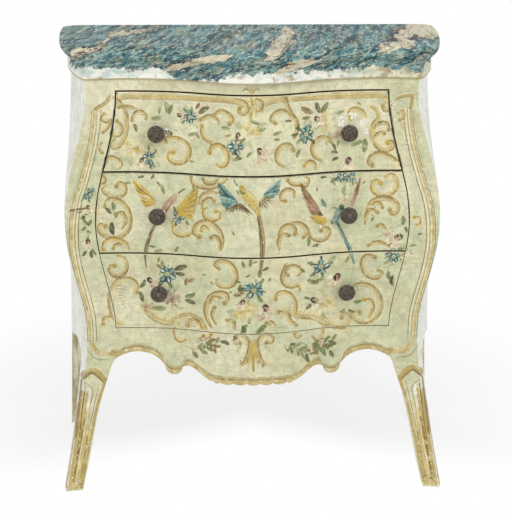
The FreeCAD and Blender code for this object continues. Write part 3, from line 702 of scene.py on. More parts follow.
class PaintShop:
    """Builds each finish once and puts it on the pieces."""

    def __init__(self) -> None:
        """Builds the shared effects and every finish."""
        self.effects = Effects()
        veins = (
            *vein_line(0.0060, (-0.313, 0.7966), (-0.266, 0.809), (-0.257, 0.823)),
            *vein_line(0.0040, (-0.257, 0.823), (-0.218, 0.827), (-0.171, 0.836)),
            *vein_line(0.0075, (-0.146, 0.770), (-0.105, 0.782), (-0.039, 0.793)),
            *vein_line(0.0115, (0.032, 0.7966), (0.064, 0.820), (0.077, 0.829)),
            *vein_line(0.0095, (0.045, 0.764), (0.068, 0.775), (0.109, 0.782)),
            *vein_line(0.0085, (0.234, 0.802), (0.270, 0.811), (0.300, 0.827)),
            Vein((0.350, 0.832), (0.290, 0.826), 0.0150),
        )
        cracks = (
            *vein_line(0.0019, (-0.320, 0.792), (-0.254, 0.8144), (-0.205, 0.829), (-0.165, 0.838)),
            *vein_line(0.0019, (-0.152, 0.770), (-0.111, 0.793), (-0.061, 0.818), (-0.028, 0.823)),
            *vein_line(0.0019, (0.045, 0.770), (0.0375, 0.793), (0.068, 0.818)),
            *vein_line(0.0019, (0.109, 0.770), (0.134, 0.800), (0.175, 0.8144), (0.211, 0.823)),
            *vein_line(0.0022, (0.211, 0.782), (0.252, 0.8144), (0.288, 0.829), (0.318, 0.841)),
        )
        marble = {"veins": veins, "cracks": cracks}
        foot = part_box("top_moulding_front")[0].z
        builders = {
            Finish.TOP: PaintedMarble("marbled_top_paint", **marble),
            Finish.MOULDING: PaintedMarble("marbled_moulding_paint", cream_below=0.7773,
                                           shadow_line_below=foot + 2 * MM, **marble),
            Finish.BODY: AgedPaint("painted_body_paint"),
            Finish.FRONT: AgedPaint("painted_front_paint", painted_light_side_from=0.80, paints_gap_shade=True),
            Finish.KNOB: WaxedTurning("waxed_knob"),
            Finish.SCREW: DullSteel("dull_steel"),
            Finish.BOARD: BareWood("thin_board_wood", pale=(0.43, 0.30, 0.17), along=(1.0, 0.06, 1.0)),
            Finish.WOOD: BareWood("bare_softwood"),
        }
        self.finishes = {finish: builder.build(self.effects) for finish, builder in builders.items()}
        self.ochre = OchreLine("ochre_line").build(self.effects)
        self.brushwork = Brushwork("brushwork").build(self.effects)

    def dress(self, piece: bpy.types.Object, finish: Finish) -> None:
        """Gives a piece one finish all over."""
        if not piece.material_slots:
            piece.data.materials.append(self.finishes[finish])
        for slot in piece.material_slots:
            slot.material = self.finishes[finish]

    def dress_nodes(self) -> None:
        """Gives every node of the frame the finish of its slot."""
        for subpart in frame["record"]["subparts"]:
            name = subpart["node"]
            self.dress(frame["nodes"][name], Finish(subpart["material_slot"]))
            log.info("%s is finished in %s", name, subpart["material_slot"])


def add_object(name: str, data: Any) -> bpy.types.Object:
    """Makes an object of a mesh, lamp or camera and links it to the scene."""
    piece = bpy.data.objects.new(name, data)
    bpy.context.scene.collection.objects.link(piece)
    return piece


def new_mesh_object(name: str, vertices: Any, faces: Any, smooth: bool = True) -> bpy.types.Object:
    """Makes a mesh object at the origin.

    Args:
        name: Name of the piece.
        vertices: Its points.
        faces: Its faces as lists of point numbers.
        smooth: Whether it is shaded smooth.

    Returns:
        The linked object.
    """
    mesh = bpy.data.meshes.new(name)
    mesh.from_pydata([tuple(v) for v in vertices], [], [tuple(f) for f in faces])
    mesh.update()
    if smooth:
        mesh.shade_smooth()
    return add_object(name, mesh)


def rounded(points: np.ndarray, before: np.ndarray, after: np.ndarray, steps: int) -> list[np.ndarray]:
    """A rounded line that passes its points.

    Args:
        points: Points to pass through, one row each.
        before: Point that the line would come from.
        after: Point that it would go on to.
        steps: Steps from each point to the next.

    Returns:
        The points of the line, from the first given point to the last.
    """
    padded = np.vstack([before, points, after])
    line = []
    for a, b, c, d in zip(padded, padded[1:], padded[2:], padded[3:]):
        for t in np.linspace(0.0, 1.0, steps, endpoint=False):
            line.append(0.5 * (2 * b + (c - a) * t + (2 * a - 5 * b + 4 * c - d) * t ** 2
                               + (3 * b - a - 3 * c + d) * t ** 3))
    return line + [points[-1]]


@dataclass
class KnobPair:
    """The two turned knobs of one drawer."""

    body: str
    segments: int = 56
    rounding: int = 5
    sunk: float = 3.0 * MM
    inside: float = 0.2 * MM    # the turned face stays this far inside the frame's knob
    turning: tuple[Point, ...] = (
        (9.5, -3.0), (9.5, 0.8), (9.2, 1.9), (8.2, 2.6), (6.4, 3.2), (5.6, 4.6), (5.5, 7.5), (6.0, 9.8),
        (8.4, 12.0), (11.6, 13.8), (14.0, 15.4), (15.3, 17.2), (15.3, 18.6), (14.4, 19.8), (13.0, 20.4),
        (12.3, 20.0), (11.8, 20.4), (11.2, 22.0), (9.6, 23.2), (8.4, 23.4), (7.8, 22.9), (7.2, 23.3),
        (6.6, 25.0), (5.0, 26.6), (3.6, 27.2), (2.2, 28.2), (0.0, 28.8),
    )

    def profile(self) -> list[Point]:
        """The turning's rounded outline, as radius and distance from the drawer."""
        points = np.array(self.turning)
        line = rounded(points, points[0], points[-1], self.rounding)
        return [(max(radius, 0.0), out) for radius, out in line]

    def turn(self, x: float, y: float, z: float, first: int) -> tuple[list[Any], list[Any]]:
        """Turns one knob.

        Args:
            x: Its middle, across the chest.
            y: The face that it stands on.
            z: Its middle, above the floor.
            first: Number that its first point gets.

        Returns:
            Its points and its faces.
        """
        *rings, tip = self.profile()
        turns = [2 * math.pi * k / self.segments for k in range(self.segments)]
        vertices = [(x + radius * MM * math.cos(turn), y - out * MM, z + radius * MM * math.sin(turn))
                    for radius, out in rings for turn in turns]
        last = first + (len(rings) - 1) * self.segments
        front, back = first + len(vertices), first + len(vertices) + 1
        vertices += [(x, y - tip[1] * MM, z), (x, y + self.sunk, z)]
        faces = []
        for k in range(self.segments):
            following = (k + 1) % self.segments
            for ring in range(first, last, self.segments):
                a, b = ring + k, ring + following
                faces.append((a, b, b + self.segments, a + self.segments))
            faces += [(last + k, last + following, front), (first + following, first + k, back)]
        return vertices, faces

    def build(self, shop: PaintShop) -> bpy.types.Object:
        """Turns both knobs and puts them where the frame has them."""
        node = f"{self.body}_knobs"
        low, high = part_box(node)
        widest = max(radius for radius, _ in self.turning)
        half_x = high.x - widest * MM - self.inside
        face_y = low.y + self.turning[-1][1] * MM
        vertices, faces = [], []
        for side in (-1, 1):
            knob = self.turn(side * half_x, face_y, (low.z + high.z) / 2, len(vertices))
            vertices += knob[0]
            faces += knob[1]
        piece = new_mesh_object(f"{self.body}_turned_knobs", vertices, faces)
        shop.dress(piece, Finish.KNOB)
        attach(piece, self.body)
        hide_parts(node)
        log.info("%s turned, %d faces", piece.name, len(faces))
        return piece


# ---------------------------------------------------------------- brushwork
class Tint(Enum):
    """The decorator's colours."""

    OCHRE = (0.440, 0.325, 0.105)
    GOLD = (0.520, 0.370, 0.080)
    PALE_OCHRE = (0.600, 0.485, 0.210)
    SIENNA = (0.255, 0.155, 0.048)
    BROWN = (0.130, 0.078, 0.034)
    UMBER = (0.045, 0.032, 0.022)
    MAROON = (0.060, 0.010, 0.014)
    RED = (0.260, 0.065, 0.040)
    ROSE = (0.420, 0.235, 0.150)
    PINK = (0.680, 0.500, 0.355)
    BLUE = (0.045, 0.120, 0.118)
    TEAL = (0.105, 0.232, 0.205)
    NAVY = (0.016, 0.045, 0.046)
    SKY = (0.400, 0.525, 0.430)
    LEAF = (0.165, 0.205, 0.065)
    OLIVE = (0.085, 0.090, 0.035)
    MOSS = (0.290, 0.330, 0.130)
    YELLOW = (0.610, 0.430, 0.080)
    LEMON = (0.76, 0.69, 0.42)
    CREAM = (0.80, 0.76, 0.52)
    WHITE = (0.88, 0.87, 0.80)


@dataclass(frozen=True)
class Stroke:
    """One pull of the brush: centre line and half widths in the plane of the front, in millimetres."""

    line: np.ndarray
    radii: np.ndarray
    tint: Tint
    cover: float = 0.85
    relief: float = 0.0


def smooth_line(points: Sequence[Point], step: float) -> np.ndarray:
    """A rounded line through points, with even steps.

    Args:
        points: Points to pass through.
        step: Distance between the points given back.

    Returns:
        The points of the line, one row each.
    """
    given = np.array(points, dtype=float)
    dense = np.array(rounded(given, 2 * given[0] - given[1], 2 * given[-1] - given[-2], 12))
    reach = reach_along(dense)
    even = np.linspace(0.0, reach[-1], max(5, int(round(reach[-1] / step)) + 1))
    return np.column_stack([np.interp(even, reach, dense[:, 0]), np.interp(even, reach, dense[:, 1])])


def reach_along(line: np.ndarray) -> np.ndarray:
    """Distance along a line from its start to each of its points."""
    return np.concatenate([[0.0], np.cumsum(np.linalg.norm(np.diff(line, axis=0), axis=1))])


def side_of(line: np.ndarray) -> np.ndarray:
    """Unit vectors to the left of a line, one for each of its points."""
    run = np.gradient(line, axis=0)
    run /= np.maximum(np.linalg.norm(run, axis=1, keepdims=True), 1e-9)
    return np.column_stack([-run[:, 1], run[:, 0]])


def towards(x: float, z: float, angle: float, reach: float) -> Point:
    """The point at a distance and an angle (degrees from +X, upwards) of another."""
    return x + reach * math.cos(math.radians(angle)), z + reach * math.sin(math.radians(angle))


def between(a: Point, b: Point) -> Point:
    """The point halfway between two others."""
    return (a[0] + b[0]) / 2, (a[1] + b[1]) / 2


def mirrored(points: Iterable[Point], side: int) -> list[Point]:
    """The points as they are for side 1, and mirrored to the other half of the front for side -1."""
    return [(side * x, z) for x, z in points]


class Painter:
    """Paints scrolls, flowers, leaves and birds, as strokes in the plane of the front, in millimetres."""

    SEED = 17
    STEP = 2.2                  # between two points of a stroke, at most
    LEAST, BOLD = 3.0, 1.12     # a scroll is LEAST plus BOLD times its width wide
    GREENS = (Tint.LEAF, Tint.OLIVE, Tint.MOSS)

    def __init__(self) -> None:
        """Takes up the brush."""
        self.random = random.Random(self.SEED)
        self.strokes: list[Stroke] = []

    def pull(self, points: Sequence[Point], width: float, tint: Tint, cover: float = 0.85,
             press: tuple[float, float] = (0.35, 0.15), shift: float = 0.0, relief: float = 0.0,
             full: float = 0.7) -> None:
        """One stroke.

        Args:
            points: Points that its centre line passes.
            width: Width where the brush is pressed down.
            tint: Colour.
            cover: How much it hides what lies under it.
            press: Shares of the width at the start and at the end.
            shift: Distance to the left of the centre line.
            relief: Height of its middle, for a raised bead.
            full: How soon the brush is pressed down; small is soon.
        """
        line = smooth_line(points, min(self.STEP, max(0.5, width * 0.5)))
        share = np.linspace(0.0, 1.0, len(line))
        ends = press[0] * (1 - share) + press[1] * share
        swell = ends + (1 - ends) * np.sin(math.pi * share) ** full
        if shift:
            line = line + side_of(line) * (shift * swell)[:, None]
        self.strokes.append(Stroke(line, 0.5 * width * swell, tint, cover, relief))

    def dot(self, x: float, z: float, radius: float, tint: Tint, cover: float = 0.9) -> None:
        """A round touch of the brush."""
        lean = self.random.uniform(0, 180)
        ends = towards(x, z, lean, 0.75 * radius), towards(x, z, lean + 180, 0.75 * radius)
        self.pull((ends[0], (x, z), ends[1]), 2 * radius, tint, cover, press=(0.45, 0.45), full=0.45)

    def dab(self, x: float, z: float, angle: float, length: float, width: float, tint: Tint,
            cover: float = 0.85, bend: float = 0.0) -> None:
        """A short full stroke from its root outwards, as for a petal or a leaf."""
        middle = towards(*towards(x, z, angle, length * 0.5), angle + 90, bend * length)
        tip = towards(x, z, angle, length)
        self.pull(((x, z), middle, tip), width, tint, cover, press=(0.25, 0.08), full=0.6)

    def scroll(self, points: Sequence[Point], width: float, tone: Tint) -> None:
        """A C or S scroll: body, dark outer edge, light inner edge and rolled ends."""
        given = np.array(points, dtype=float)
        run = np.diff(given, axis=0)
        turning = float(np.sum(run[:-1, 0] * run[1:, 1] - run[:-1, 1] * run[1:, 0]))
        outer = -1.0 if turning > 0 else 1.0
        width = self.LEAST + self.BOLD * width
        for share, tint, cover, press, shift, full in (
                (2.50, Tint.LEMON, 0.26, (0.8, 0.7), 0.0, 0.4),
                (1.25, Tint.PALE_OCHRE, 0.55, (0.75, 0.5), 0.0, 0.5),
                (0.95, tone, 0.78, (0.60, 0.32), 0.0, 0.5),
                (0.42, Tint.SIENNA, 0.42, (0.5, 0.2), 0.27, 0.7),
                (0.20, Tint.BROWN, 0.36, (0.4, 0.1), 0.42, 0.7),
                (0.26, Tint.CREAM, 0.46, (0.3, 0.1), -0.22, 0.7)):
            self.pull(points, width * share, tint, cover, press, outer * width * shift, full=full)
        self.dot(*points[0], width * 0.62, tone, 0.88)
        self.dot(points[0][0] + 0.3, points[0][1] - 0.5, width * 0.30, Tint.SIENNA, 0.6)
        self.dot(*points[-1], width * 0.40, tone, 0.85)

    def leaf(self, x: float, z: float, angle: float, length: float, tint: Tint) -> None:
        """A leaf with a dark and a pale rib."""
        bend = self.random.uniform(-0.12, 0.12)
        length *= 1.15
        self.dab(x, z, angle, length, length * 0.50, tint, 0.90, bend)
        rib, vein = towards(x, z, angle + 90, length * 0.05), towards(x, z, angle - 90, length * 0.06)
        self.dab(*rib, angle, length * 0.8, length * 0.12, Tint.OLIVE, 0.6, bend)
        self.dab(*vein, angle + 4, length * 0.7, length * 0.10, Tint.MOSS, 0.6, bend)

    def sprig(self, points: Sequence[Point], leaves: int, length: float) -> None:
        """A thin stem with leaves on both sides, some of them brown."""
        tints = (*self.GREENS, Tint.LEAF, Tint.SIENNA)
        self.pull(points, 1.5, Tint.OLIVE, 0.75, press=(0.8, 0.4))
        line = smooth_line(points, self.STEP)
        for k in range(leaves):
            at = int((len(line) - 1) * (0.25 + 0.75 * k / max(1, leaves - 1)))
            back = line[at] - line[max(0, at - 2)]
            along = math.degrees(math.atan2(back[1], back[0])) if at else 0.0
            side = 42 if k % 2 else -42
            self.leaf(*line[at], along + side + self.random.uniform(-12, 12),
                      length * self.random.uniform(0.8, 1.15), self.random.choice(tints))

    def blue_flower(self, x: float, z: float, size: float) -> None:
        """A flower of blue petals with white touches, among small leaves."""
        for _ in range(3):
            angle = self.random.uniform(0, 360)
            self.leaf(*towards(x, z, angle, size * 0.75), angle, size * 0.8, self.random.choice(self.GREENS))
        petals = self.random.choice((5, 6, 6))
        start = self.random.uniform(0, 60)
        for k in range(petals):
            self.blue_petal(x, z, size, start + 360 * k / petals + self.random.uniform(-16, 16))
        for _ in range(3):
            angle = self.random.uniform(0, 360)
            self.dab(*towards(x, z, angle, size * 0.8), angle + self.random.uniform(-60, 60), size * 0.5,
                     size * 0.16, Tint.NAVY, 0.8)
        for _ in range(4):
            spot = towards(x, z, self.random.uniform(0, 360), size * self.random.uniform(0.9, 1.25))
            self.dot(*spot, size * 0.10, self.random.choice((Tint.WHITE, Tint.SKY, Tint.BLUE)), 0.8)
        self.dot(x, z, size * 0.17, Tint.GOLD)
        self.dot(x + 0.4, z - 0.5, size * 0.10, Tint.SIENNA)

    def blue_petal(self, x: float, z: float, size: float, angle: float) -> None:
        """One petal of a blue flower, with a pale touch and dark edges."""
        root = towards(x, z, angle, size * 0.20)
        bend = self.random.uniform(-0.16, 0.16)
        reach = size * self.random.uniform(0.62, 1.0)
        middle = towards(*towards(*root, angle, reach * 0.5), angle + 90, bend * reach)
        self.pull((root, middle, towards(*root, angle, reach)), size * 0.60,
                  self.random.choice((Tint.TEAL, Tint.BLUE, Tint.TEAL)), 0.90, press=(0.35, 0.5), full=0.6)
        self.dab(*towards(*root, angle, reach * 0.30), angle + 8, reach * 0.6, size * 0.24,
                 self.random.choice((Tint.SKY, Tint.SKY, Tint.WHITE)), 0.78)
        for lean in (-1, 1):
            self.dab(*towards(*root, angle + 90 * lean, size * 0.14), angle + 7 * lean, reach * 0.95,
                     size * 0.17, Tint.NAVY, 0.90, bend + 0.10 * lean)

    def rosebud(self, x: float, z: float, size: float, angle: float) -> None:
        """A dark bud opening over pale pink petals."""
        self.dot(*towards(x, z, angle + 180, size * 0.5), size * 1.35, Tint.CREAM, 0.45)
        for lean, tone in ((150, Tint.PINK), (185, Tint.ROSE), (215, Tint.CREAM), (120, Tint.CREAM),
                           (245, Tint.PINK)):
            self.dab(*towards(x, z, angle + lean, size * 0.1), angle + lean, size * 1.50, size * 1.25, tone,
                     0.72, self.random.uniform(-0.3, 0.3))
        bud = [towards(x, z, angle + turn, size * away)
               for turn, away in ((180, 0.45), (90, 0.08), (0, 0.95))]
        self.pull(bud, size * 1.35, Tint.MAROON, 0.98, press=(0.55, 0.3), full=0.55)
        for turn, away, lean, length, width, tone, cover, bend in (
                (70, 0.20, 6, 0.8, 0.22, Tint.RED, 0.75, 0.0),
                (-150, 0.55, 30, 1.1, 0.40, Tint.PINK, 0.85, -0.2),
                (120, 0.6, 150, 0.8, 0.20, Tint.BROWN, 0.6, 0.0)):
            self.dab(*towards(x, z, angle + turn, size * away), angle + lean, size * length, size * width,
                     tone, cover, bend)

    def blossom(self, x: float, z: float, size: float,
                tones: Sequence[Tint] = (Tint.YELLOW, Tint.LEMON, Tint.LEMON),
                heart: Tint = Tint.GOLD) -> None:
        """A soft full blossom."""
        for ring, reach in ((11, 1.25), (8, 0.85), (6, 0.5)):
            for k in range(ring):
                angle = 360 * k / ring + self.random.uniform(-16, 16)
                length = size * reach * self.random.uniform(0.8, 1.05)
                self.dab(*towards(x, z, angle, size * 0.12), angle, length, size * 0.62,
                         self.random.choice(tones), 0.42, self.random.uniform(-0.2, 0.2))
        for _ in range(5):
            spot = towards(x, z, self.random.uniform(0, 360), self.random.uniform(0, size * 0.35))
            self.dot(*spot, size * 0.10, heart, 0.6)

    def feathers(self, root: Point, tips: Sequence[Point], width: float, tints: Sequence[Tint],
                 cover: float = 0.85) -> None:
        """A wing: feathers from the shoulder to their tips, over a first wash, with dark quills."""
        for near, far in zip(tips, tips[1:]):
            end = between(near, far)
            self.pull((root, between(root, end), end), width * 1.5, tints[0], 0.60, press=(0.5, 0.5),
                      full=0.4)
        for count, tip in enumerate(tips):
            x, z = between(root, tip)
            middle = x + self.random.uniform(-0.8, 0.8), z + self.random.uniform(-0.8, 0.8)
            self.pull((root, middle, tip), width * 1.4, tints[count % len(tints)], cover, press=(0.45, 0.3),
                      full=0.5)
        quill = Tint.NAVY if tints[0] in (Tint.TEAL, Tint.BLUE, Tint.SKY) else Tint.BROWN
        for tip in tips:
            x, z = between(root, tip)
            start = x + 0.8, z
            self.pull((start, between(start, tip), tip), width * 0.28, quill, 0.55, press=(0.2, 0.2),
                      shift=width * 0.2)

    def fringe(self, points: Sequence[Point], angle: float, spread: float, length: float, tint: Tint) -> None:
        """A row of short fine feathers fanning out from a line."""
        line = smooth_line(points, 1.6)
        for k, spot in enumerate(line):
            lean = angle + spread * (k / max(1, len(line) - 1) - 0.5) + self.random.uniform(-7, 7)
            self.dab(*spot, lean, length * self.random.uniform(0.75, 1.15), 2.4, tint, 0.85)


# Ornament of the front, as lines in millimetres: x from the middle, z from the floor.
STILE_LINE: tuple[Point, ...] = (
    (279, 707), (280, 690), (283, 665), (289, 635), (297, 605), (306, 575), (314, 551), (320, 525),
    (323, 499), (324, 470), (323, 450), (317, 410), (306, 361), (300, 328), (298.5, 300), (298.5, 276),
)
# Height, inner edge and outer edge of a leg.
LEG_EDGES: tuple[tuple[float, float, float], ...] = (
    (0, 318, 352), (40, 310, 346), (80, 302, 338), (120, 294, 334), (160, 284, 328), (200, 272, 324),
    (240, 256, 320),
)
# Width, tint, cover, pressure at both ends, then points: share of the leg's width from outside, and height.
LEG_STROKES: tuple[tuple[float, str, float, tuple[float, float], tuple[Point, ...]], ...] = (
    (30.0, "PALE_OCHRE", 0.90, (0.3, 0.9), ((0.36, 180), (0.42, 120), (0.50, 70), (0.50, 3))),
    (13.0, "OCHRE", 0.82, (0.3, 0.8), ((0.20, 182), (0.22, 130), (0.28, 70), (0.32, 3))),
    (9.0, "OCHRE", 0.70, (0.3, 0.4), ((0.40, 182), (0.44, 150), (0.44, 116), (0.36, 74))),
    (8.0, "OCHRE", 0.90, (0.2, 0.6), ((0.66, 120), (0.66, 70), (0.68, 4))),
    # This cream stroke down the middle of the leg is partly the leg's cream paint and partly a painted
    # highlight along its ridge.
    (3.6, "CREAM", 0.80, (0.3, 0.5), ((0.56, 160), (0.55, 110), (0.54, 50), (0.55, 8))),
    (2.6, "CREAM", 0.75, (0.3, 0.6), ((0.10, 120), (0.12, 70), (0.14, 10))),
    (7.0, "SIENNA", 0.90, (0.5, 0.2), ((0.12, 199), (0.13, 165), (0.16, 130), (0.20, 96))),
    (4.4, "SIENNA", 0.85, (0.3, 0.3), ((0.46, 130), (0.42, 80), (0.42, 40), (0.44, 12))),
    (2.2, "BROWN", 0.80, (0.5, 0.3), ((0.28, 192), (0.30, 150), (0.34, 100), (0.42, 40))),
    (7.0, "OCHRE", 0.95, (0.9, 0.9), ((0.95, 205), (0.91, 150), (0.90, 80), (0.90, 3))),
    (1.8, "BROWN", 0.70, (0.6, 0.4), ((0.76, 196), (0.77, 120), (0.78, 20))),
    (4.0, "OCHRE", 0.85, (0.5, 0.9), ((0.05, 150), (0.06, 80), (0.06, 3))),
    (1.8, "BROWN", 0.75, (0.5, 0.3), ((0.22, 198), (0.42, 192), (0.60, 178), (0.58, 146))),
    (6.0, "WHITE", 0.70, (0.3, 0.2), ((0.44, 190), (0.50, 168), (0.50, 142))),
    (11.5, "OCHRE", 0.95, (0.6, 0.8), ((0.10, 200), (0.20, 213), (0.42, 221), (0.68, 213), (0.96, 196))),
    (5.0, "SIENNA", 0.90, (0.3, 0.6), ((0.17, 204), (0.40, 216), (0.64, 208), (0.88, 198))),
    (2.4, "LEMON", 0.70, (0.3, 0.3), ((0.14, 213), (0.42, 227), (0.74, 217))),
)
# Scrolls: width, then points from the end with the larger roll to the other.
TOP_SCROLLS: tuple[tuple[float, tuple[Point, ...]], ...] = (
    (5.0, ((-244, 728), (-232, 716), (-225, 700), (-224, 680), (-227, 660), (-236, 645), (-247, 640),
           (-252, 648), (-246, 655))),
    (4.0, ((-241, 688), (-233, 676), (-236, 664), (-246, 662), (-248, 671))),
    (4.0, ((-238, 711), (-222, 712), (-206, 709))),
    (4.5, ((-262, 615), (-254, 624), (-243, 621), (-234, 612), (-237, 604))),
    (5.0, ((-214, 689), (-208, 700), (-198, 703), (-190, 697), (-189, 691))),
    (6.0, ((-141, 634), (-149, 631), (-147, 621), (-135, 616), (-121, 621), (-113, 635), (-117, 650),
           (-132, 659), (-150, 661))),
    (5.0, ((-90, 684), (-88, 668), (-77, 657), (-62, 652))),
    (5.0, ((-93, 694), (-77, 701), (-64, 697), (-60, 690))),
    (6.0, ((-42, 690), (-37, 697), (-43, 706), (-56, 711), (-69, 704))),
    (6.0, ((-77, 638), (-72, 648), (-60, 652), (-48, 642), (-46, 626), (-54, 615), (-64, 618))),
    (4.5, ((-24, 718), (-25, 711), (-16, 708), (-10, 717), (-16, 728), (-31, 734))),
    (4.5, ((5, 713), (12, 716), (14, 727), (6, 734))),
    (6.5, ((56, 735), (60, 718), (66, 704), (75, 692), (77, 677), (72, 664))),
    (5.0, ((38, 691), (31, 697), (37, 707), (50, 712), (64, 706))),
    (6.0, ((70, 642), (64, 651), (51, 651), (42, 640), (42, 625), (53, 614))),
    (6.0, ((139, 652), (128, 660), (114, 657), (105, 644), (108, 629), (120, 620))),
    (5.0, ((90, 613), (98, 619), (107, 616), (110, 606))),
    (5.0, ((174, 690), (172, 702), (182, 707), (195, 703), (202, 694))),
    (6.0, ((240, 647), (248, 649), (251, 641), (242, 634), (228, 636), (218, 648), (213, 664), (216, 678),
           (224, 690), (222, 703), (212, 710))),
    (4.5, ((243, 670), (240, 680), (228, 681), (216, 673))),
    (4.0, ((235, 663), (227, 664), (216, 657))),
    (5.0, ((232, 712), (236, 704), (244, 708), (243, 720), (235, 727))),
    (6.0, ((214, 607), (207, 613), (213, 624), (228, 628), (248, 621), (264, 611))),
)
MIDDLE_SCROLLS: tuple[tuple[float, tuple[Point, ...]], ...] = (
    (5.0, ((-244, 572), (-237, 579), (-228, 572), (-230, 560), (-242, 553), (-258, 556), (-268, 566),
           (-262, 575))),
    (6.5, ((-265, 500), (-274, 503), (-277, 492), (-266, 481), (-247, 477), (-229, 487), (-221, 505),
           (-223, 526), (-233, 542), (-249, 550), (-262, 546), (-265, 535))),
    (4.5, ((-247, 522), (-234, 524), (-229, 510), (-235, 495))),
    (6.0, ((-270, 454), (-268, 467), (-256, 475), (-240, 473), (-228, 465), (-224, 457))),
    (3.5, ((-252, 457), (-247, 464), (-237, 464))),
    (5.0, ((-268, 592), (-264, 583), (-271, 577))),
    (6.0, ((-143, 503), (-141, 491), (-128, 485), (-114, 490), (-104, 502))),
    (6.5, ((-97, 485), (-106, 493), (-101, 506), (-88, 514), (-72, 510), (-60, 497), (-55, 480),
           (-58, 464))),
    (5.0, ((-76, 485), (-67, 488), (-60, 477), (-60, 467))),
    (4.0, ((-93, 497), (-88, 505), (-79, 500))),
    (5.0, ((-95, 547), (-91, 560), (-78, 568), (-64, 568))),
    (4.5, ((-70, 553), (-77, 557), (-86, 551), (-91, 538))),
    (4.5, ((-67, 534), (-61, 533), (-62, 523), (-74, 518), (-86, 524), (-88, 534), (-82, 540))),
    (5.0, ((-110, 594), (-106, 582), (-93, 577), (-75, 577), (-60, 583), (-47, 593))),
    (5.0, ((-89, 592), (-83, 585), (-72, 585), (-63, 591))),
    (5.0, ((56, 553), (49, 557), (50, 567), (59, 573), (70, 570), (72, 560))),
    (5.0, ((60, 590), (68, 583), (82, 581), (93, 578), (98, 588), (92, 594))),
    (5.0, ((63, 489), (53, 492), (45, 480), (46, 464))),
    (6.0, ((74, 491), (73, 501), (63, 508), (51, 503), (45, 490))),
    (5.0, ((90, 484), (97, 492), (92, 503), (80, 511), (66, 512))),
    (5.5, ((121, 493), (129, 498), (137, 491), (133, 480), (120, 475), (106, 481), (99, 493))),
    (6.0, ((229, 575), (221, 580), (214, 574), (216, 562), (230, 553), (245, 555), (256, 566), (257, 582),
           (248, 591), (238, 587))),
    (6.5, ((246, 526), (250, 519), (260, 524), (259, 537), (246, 546), (228, 548), (212, 541), (204, 527))),
    (5.0, ((224, 522), (212, 527), (204, 517), (202, 502))),
    (4.0, ((233, 531), (226, 540), (213, 537))),
    (4.5, ((224, 497), (232, 498), (241, 488))),
    (5.0, ((210, 460), (222, 466), (236, 463), (247, 457))),
)
BOTTOM_SCROLLS: tuple[tuple[float, tuple[Point, ...]], ...] = (
    (6.0, ((-250, 423), (-257, 423), (-259, 412), (-249, 403), (-236, 408), (-229, 422), (-233, 438),
           (-245, 443))),
    (5.0, ((-276, 309), (-272, 320), (-262, 323))),
    (7.0, ((-120, 309), (-112, 319), (-101, 317), (-94, 307))),
    (6.0, ((-62, 427), (-68, 434), (-60, 442), (-46, 440), (-34, 427), (-31, 410), (-38, 396), (-53, 391),
           (-65, 396), (-66, 405))),
    (6.5, ((-52, 359), (-46, 368), (-51, 379), (-66, 378), (-79, 367), (-86, 347), (-84, 327), (-77, 311))),
    (4.0, ((-61, 370), (-72, 369), (-79, 357))),
    (4.5, ((-70, 350), (-74, 335), (-68, 317))),
    (5.0, ((-47, 326), (-37, 324), (-34, 311))),
    (4.5, ((62, 412), (59, 421), (66, 430), (78, 428), (87, 419), (81, 411))),
    (6.0, ((58, 432), (52, 412), (57, 396), (70, 390), (81, 392), (85, 381))),
    (5.0, ((40, 367), (45, 379), (60, 379), (72, 368), (78, 350), (77, 334))),
    (6.0, ((46, 342), (61, 337), (67, 322), (80, 312))),
    (5.0, ((164, 317), (167, 326), (176, 323), (178, 311), (170, 300), (152, 299))),
    (7.0, ((198, 326), (190, 329), (185, 319), (196, 309), (213, 308), (229, 319), (236, 338), (233, 358),
           (220, 376), (203, 384), (188, 382), (183, 373), (188, 366))),
    (5.0, ((205, 352), (217, 350), (222, 335), (216, 318))),
    (6.5, ((222, 436), (208, 441), (200, 432), (201, 415), (212, 400), (228, 396), (237, 405), (229, 411))),
    (5.0, ((20, 316), (31, 322), (40, 317))),
)
APRON_SCROLLS: tuple[tuple[float, tuple[Point, ...]], ...] = (
    (5.0, ((-145, 300), (-142, 285), (-134, 277), (-124, 280))),
    (5.0, ((129, 300), (127, 284), (119, 277), (111, 284))),
    (4.5, ((76, 297), (80, 289), (88, 290))),
    (4.5, ((-76, 297), (-82, 290), (-92, 291), (-98, 285))),
    (5.0, ((24, 283), (33, 283), (34, 293), (22, 298), (12, 292), (9, 279))),
    (5.0, ((-24, 283), (-33, 283), (-34, 293), (-22, 298), (-12, 292), (-9, 279))),
)
STILE_SCROLLS: tuple[tuple[float, tuple[Point, ...]], ...] = (
    (4.0, ((262, 687), (269, 693), (267, 702), (259, 699))),
    (4.0, ((-263, 700), (-267, 692), (-260, 687), (-252, 690))),
    (3.5, ((-268, 632), (-272, 641), (-268, 650))),
    (3.5, ((290, 513), (299, 512), (300, 501), (294, 499))),
    (3.5, ((-266, 668), (-258, 676), (-250, 690))),
)
# Flowers: x, z and size, and for a bud the way that it points, in degrees.
BLUE_FLOWERS: tuple[tuple[float, float, float], ...] = (
    (-110, 697, 12.0), (-184, 623, 12.0), (-30, 650, 13.5), (93, 668, 14.5), (-134, 521, 12.0),
    (158, 588, 10.0), (176, 588, 10.0), (-155, 409, 18.0), (1, 387, 17.5), (122, 424, 16.5),
    (256, 438, 14.5), (-296, 556, 8.0), (-289, 566, 7.0),
)
ROSEBUDS: tuple[tuple[float, float, float, float], ...] = (
    (-128, 699, 6.5, 150), (-198, 617, 7.0, 60), (-27, 669, 7.5, 70), (12, 641, 9.0, 110),
    (114, 691, 8.5, 120), (170, 614, 10.0, 75), (262, 474, 11.0, 20), (-186, 394, 9.0, 120),
    (-20, 361, 8.5, 60), (23, 349, 10.5, 100), (113, 357, 10.0, 130), (152, 398, 11.5, 60),
    (-294, 534, 6.5, 100), (-297, 470, 7.5, 80), (-33, 290, 6.0, 60),
)
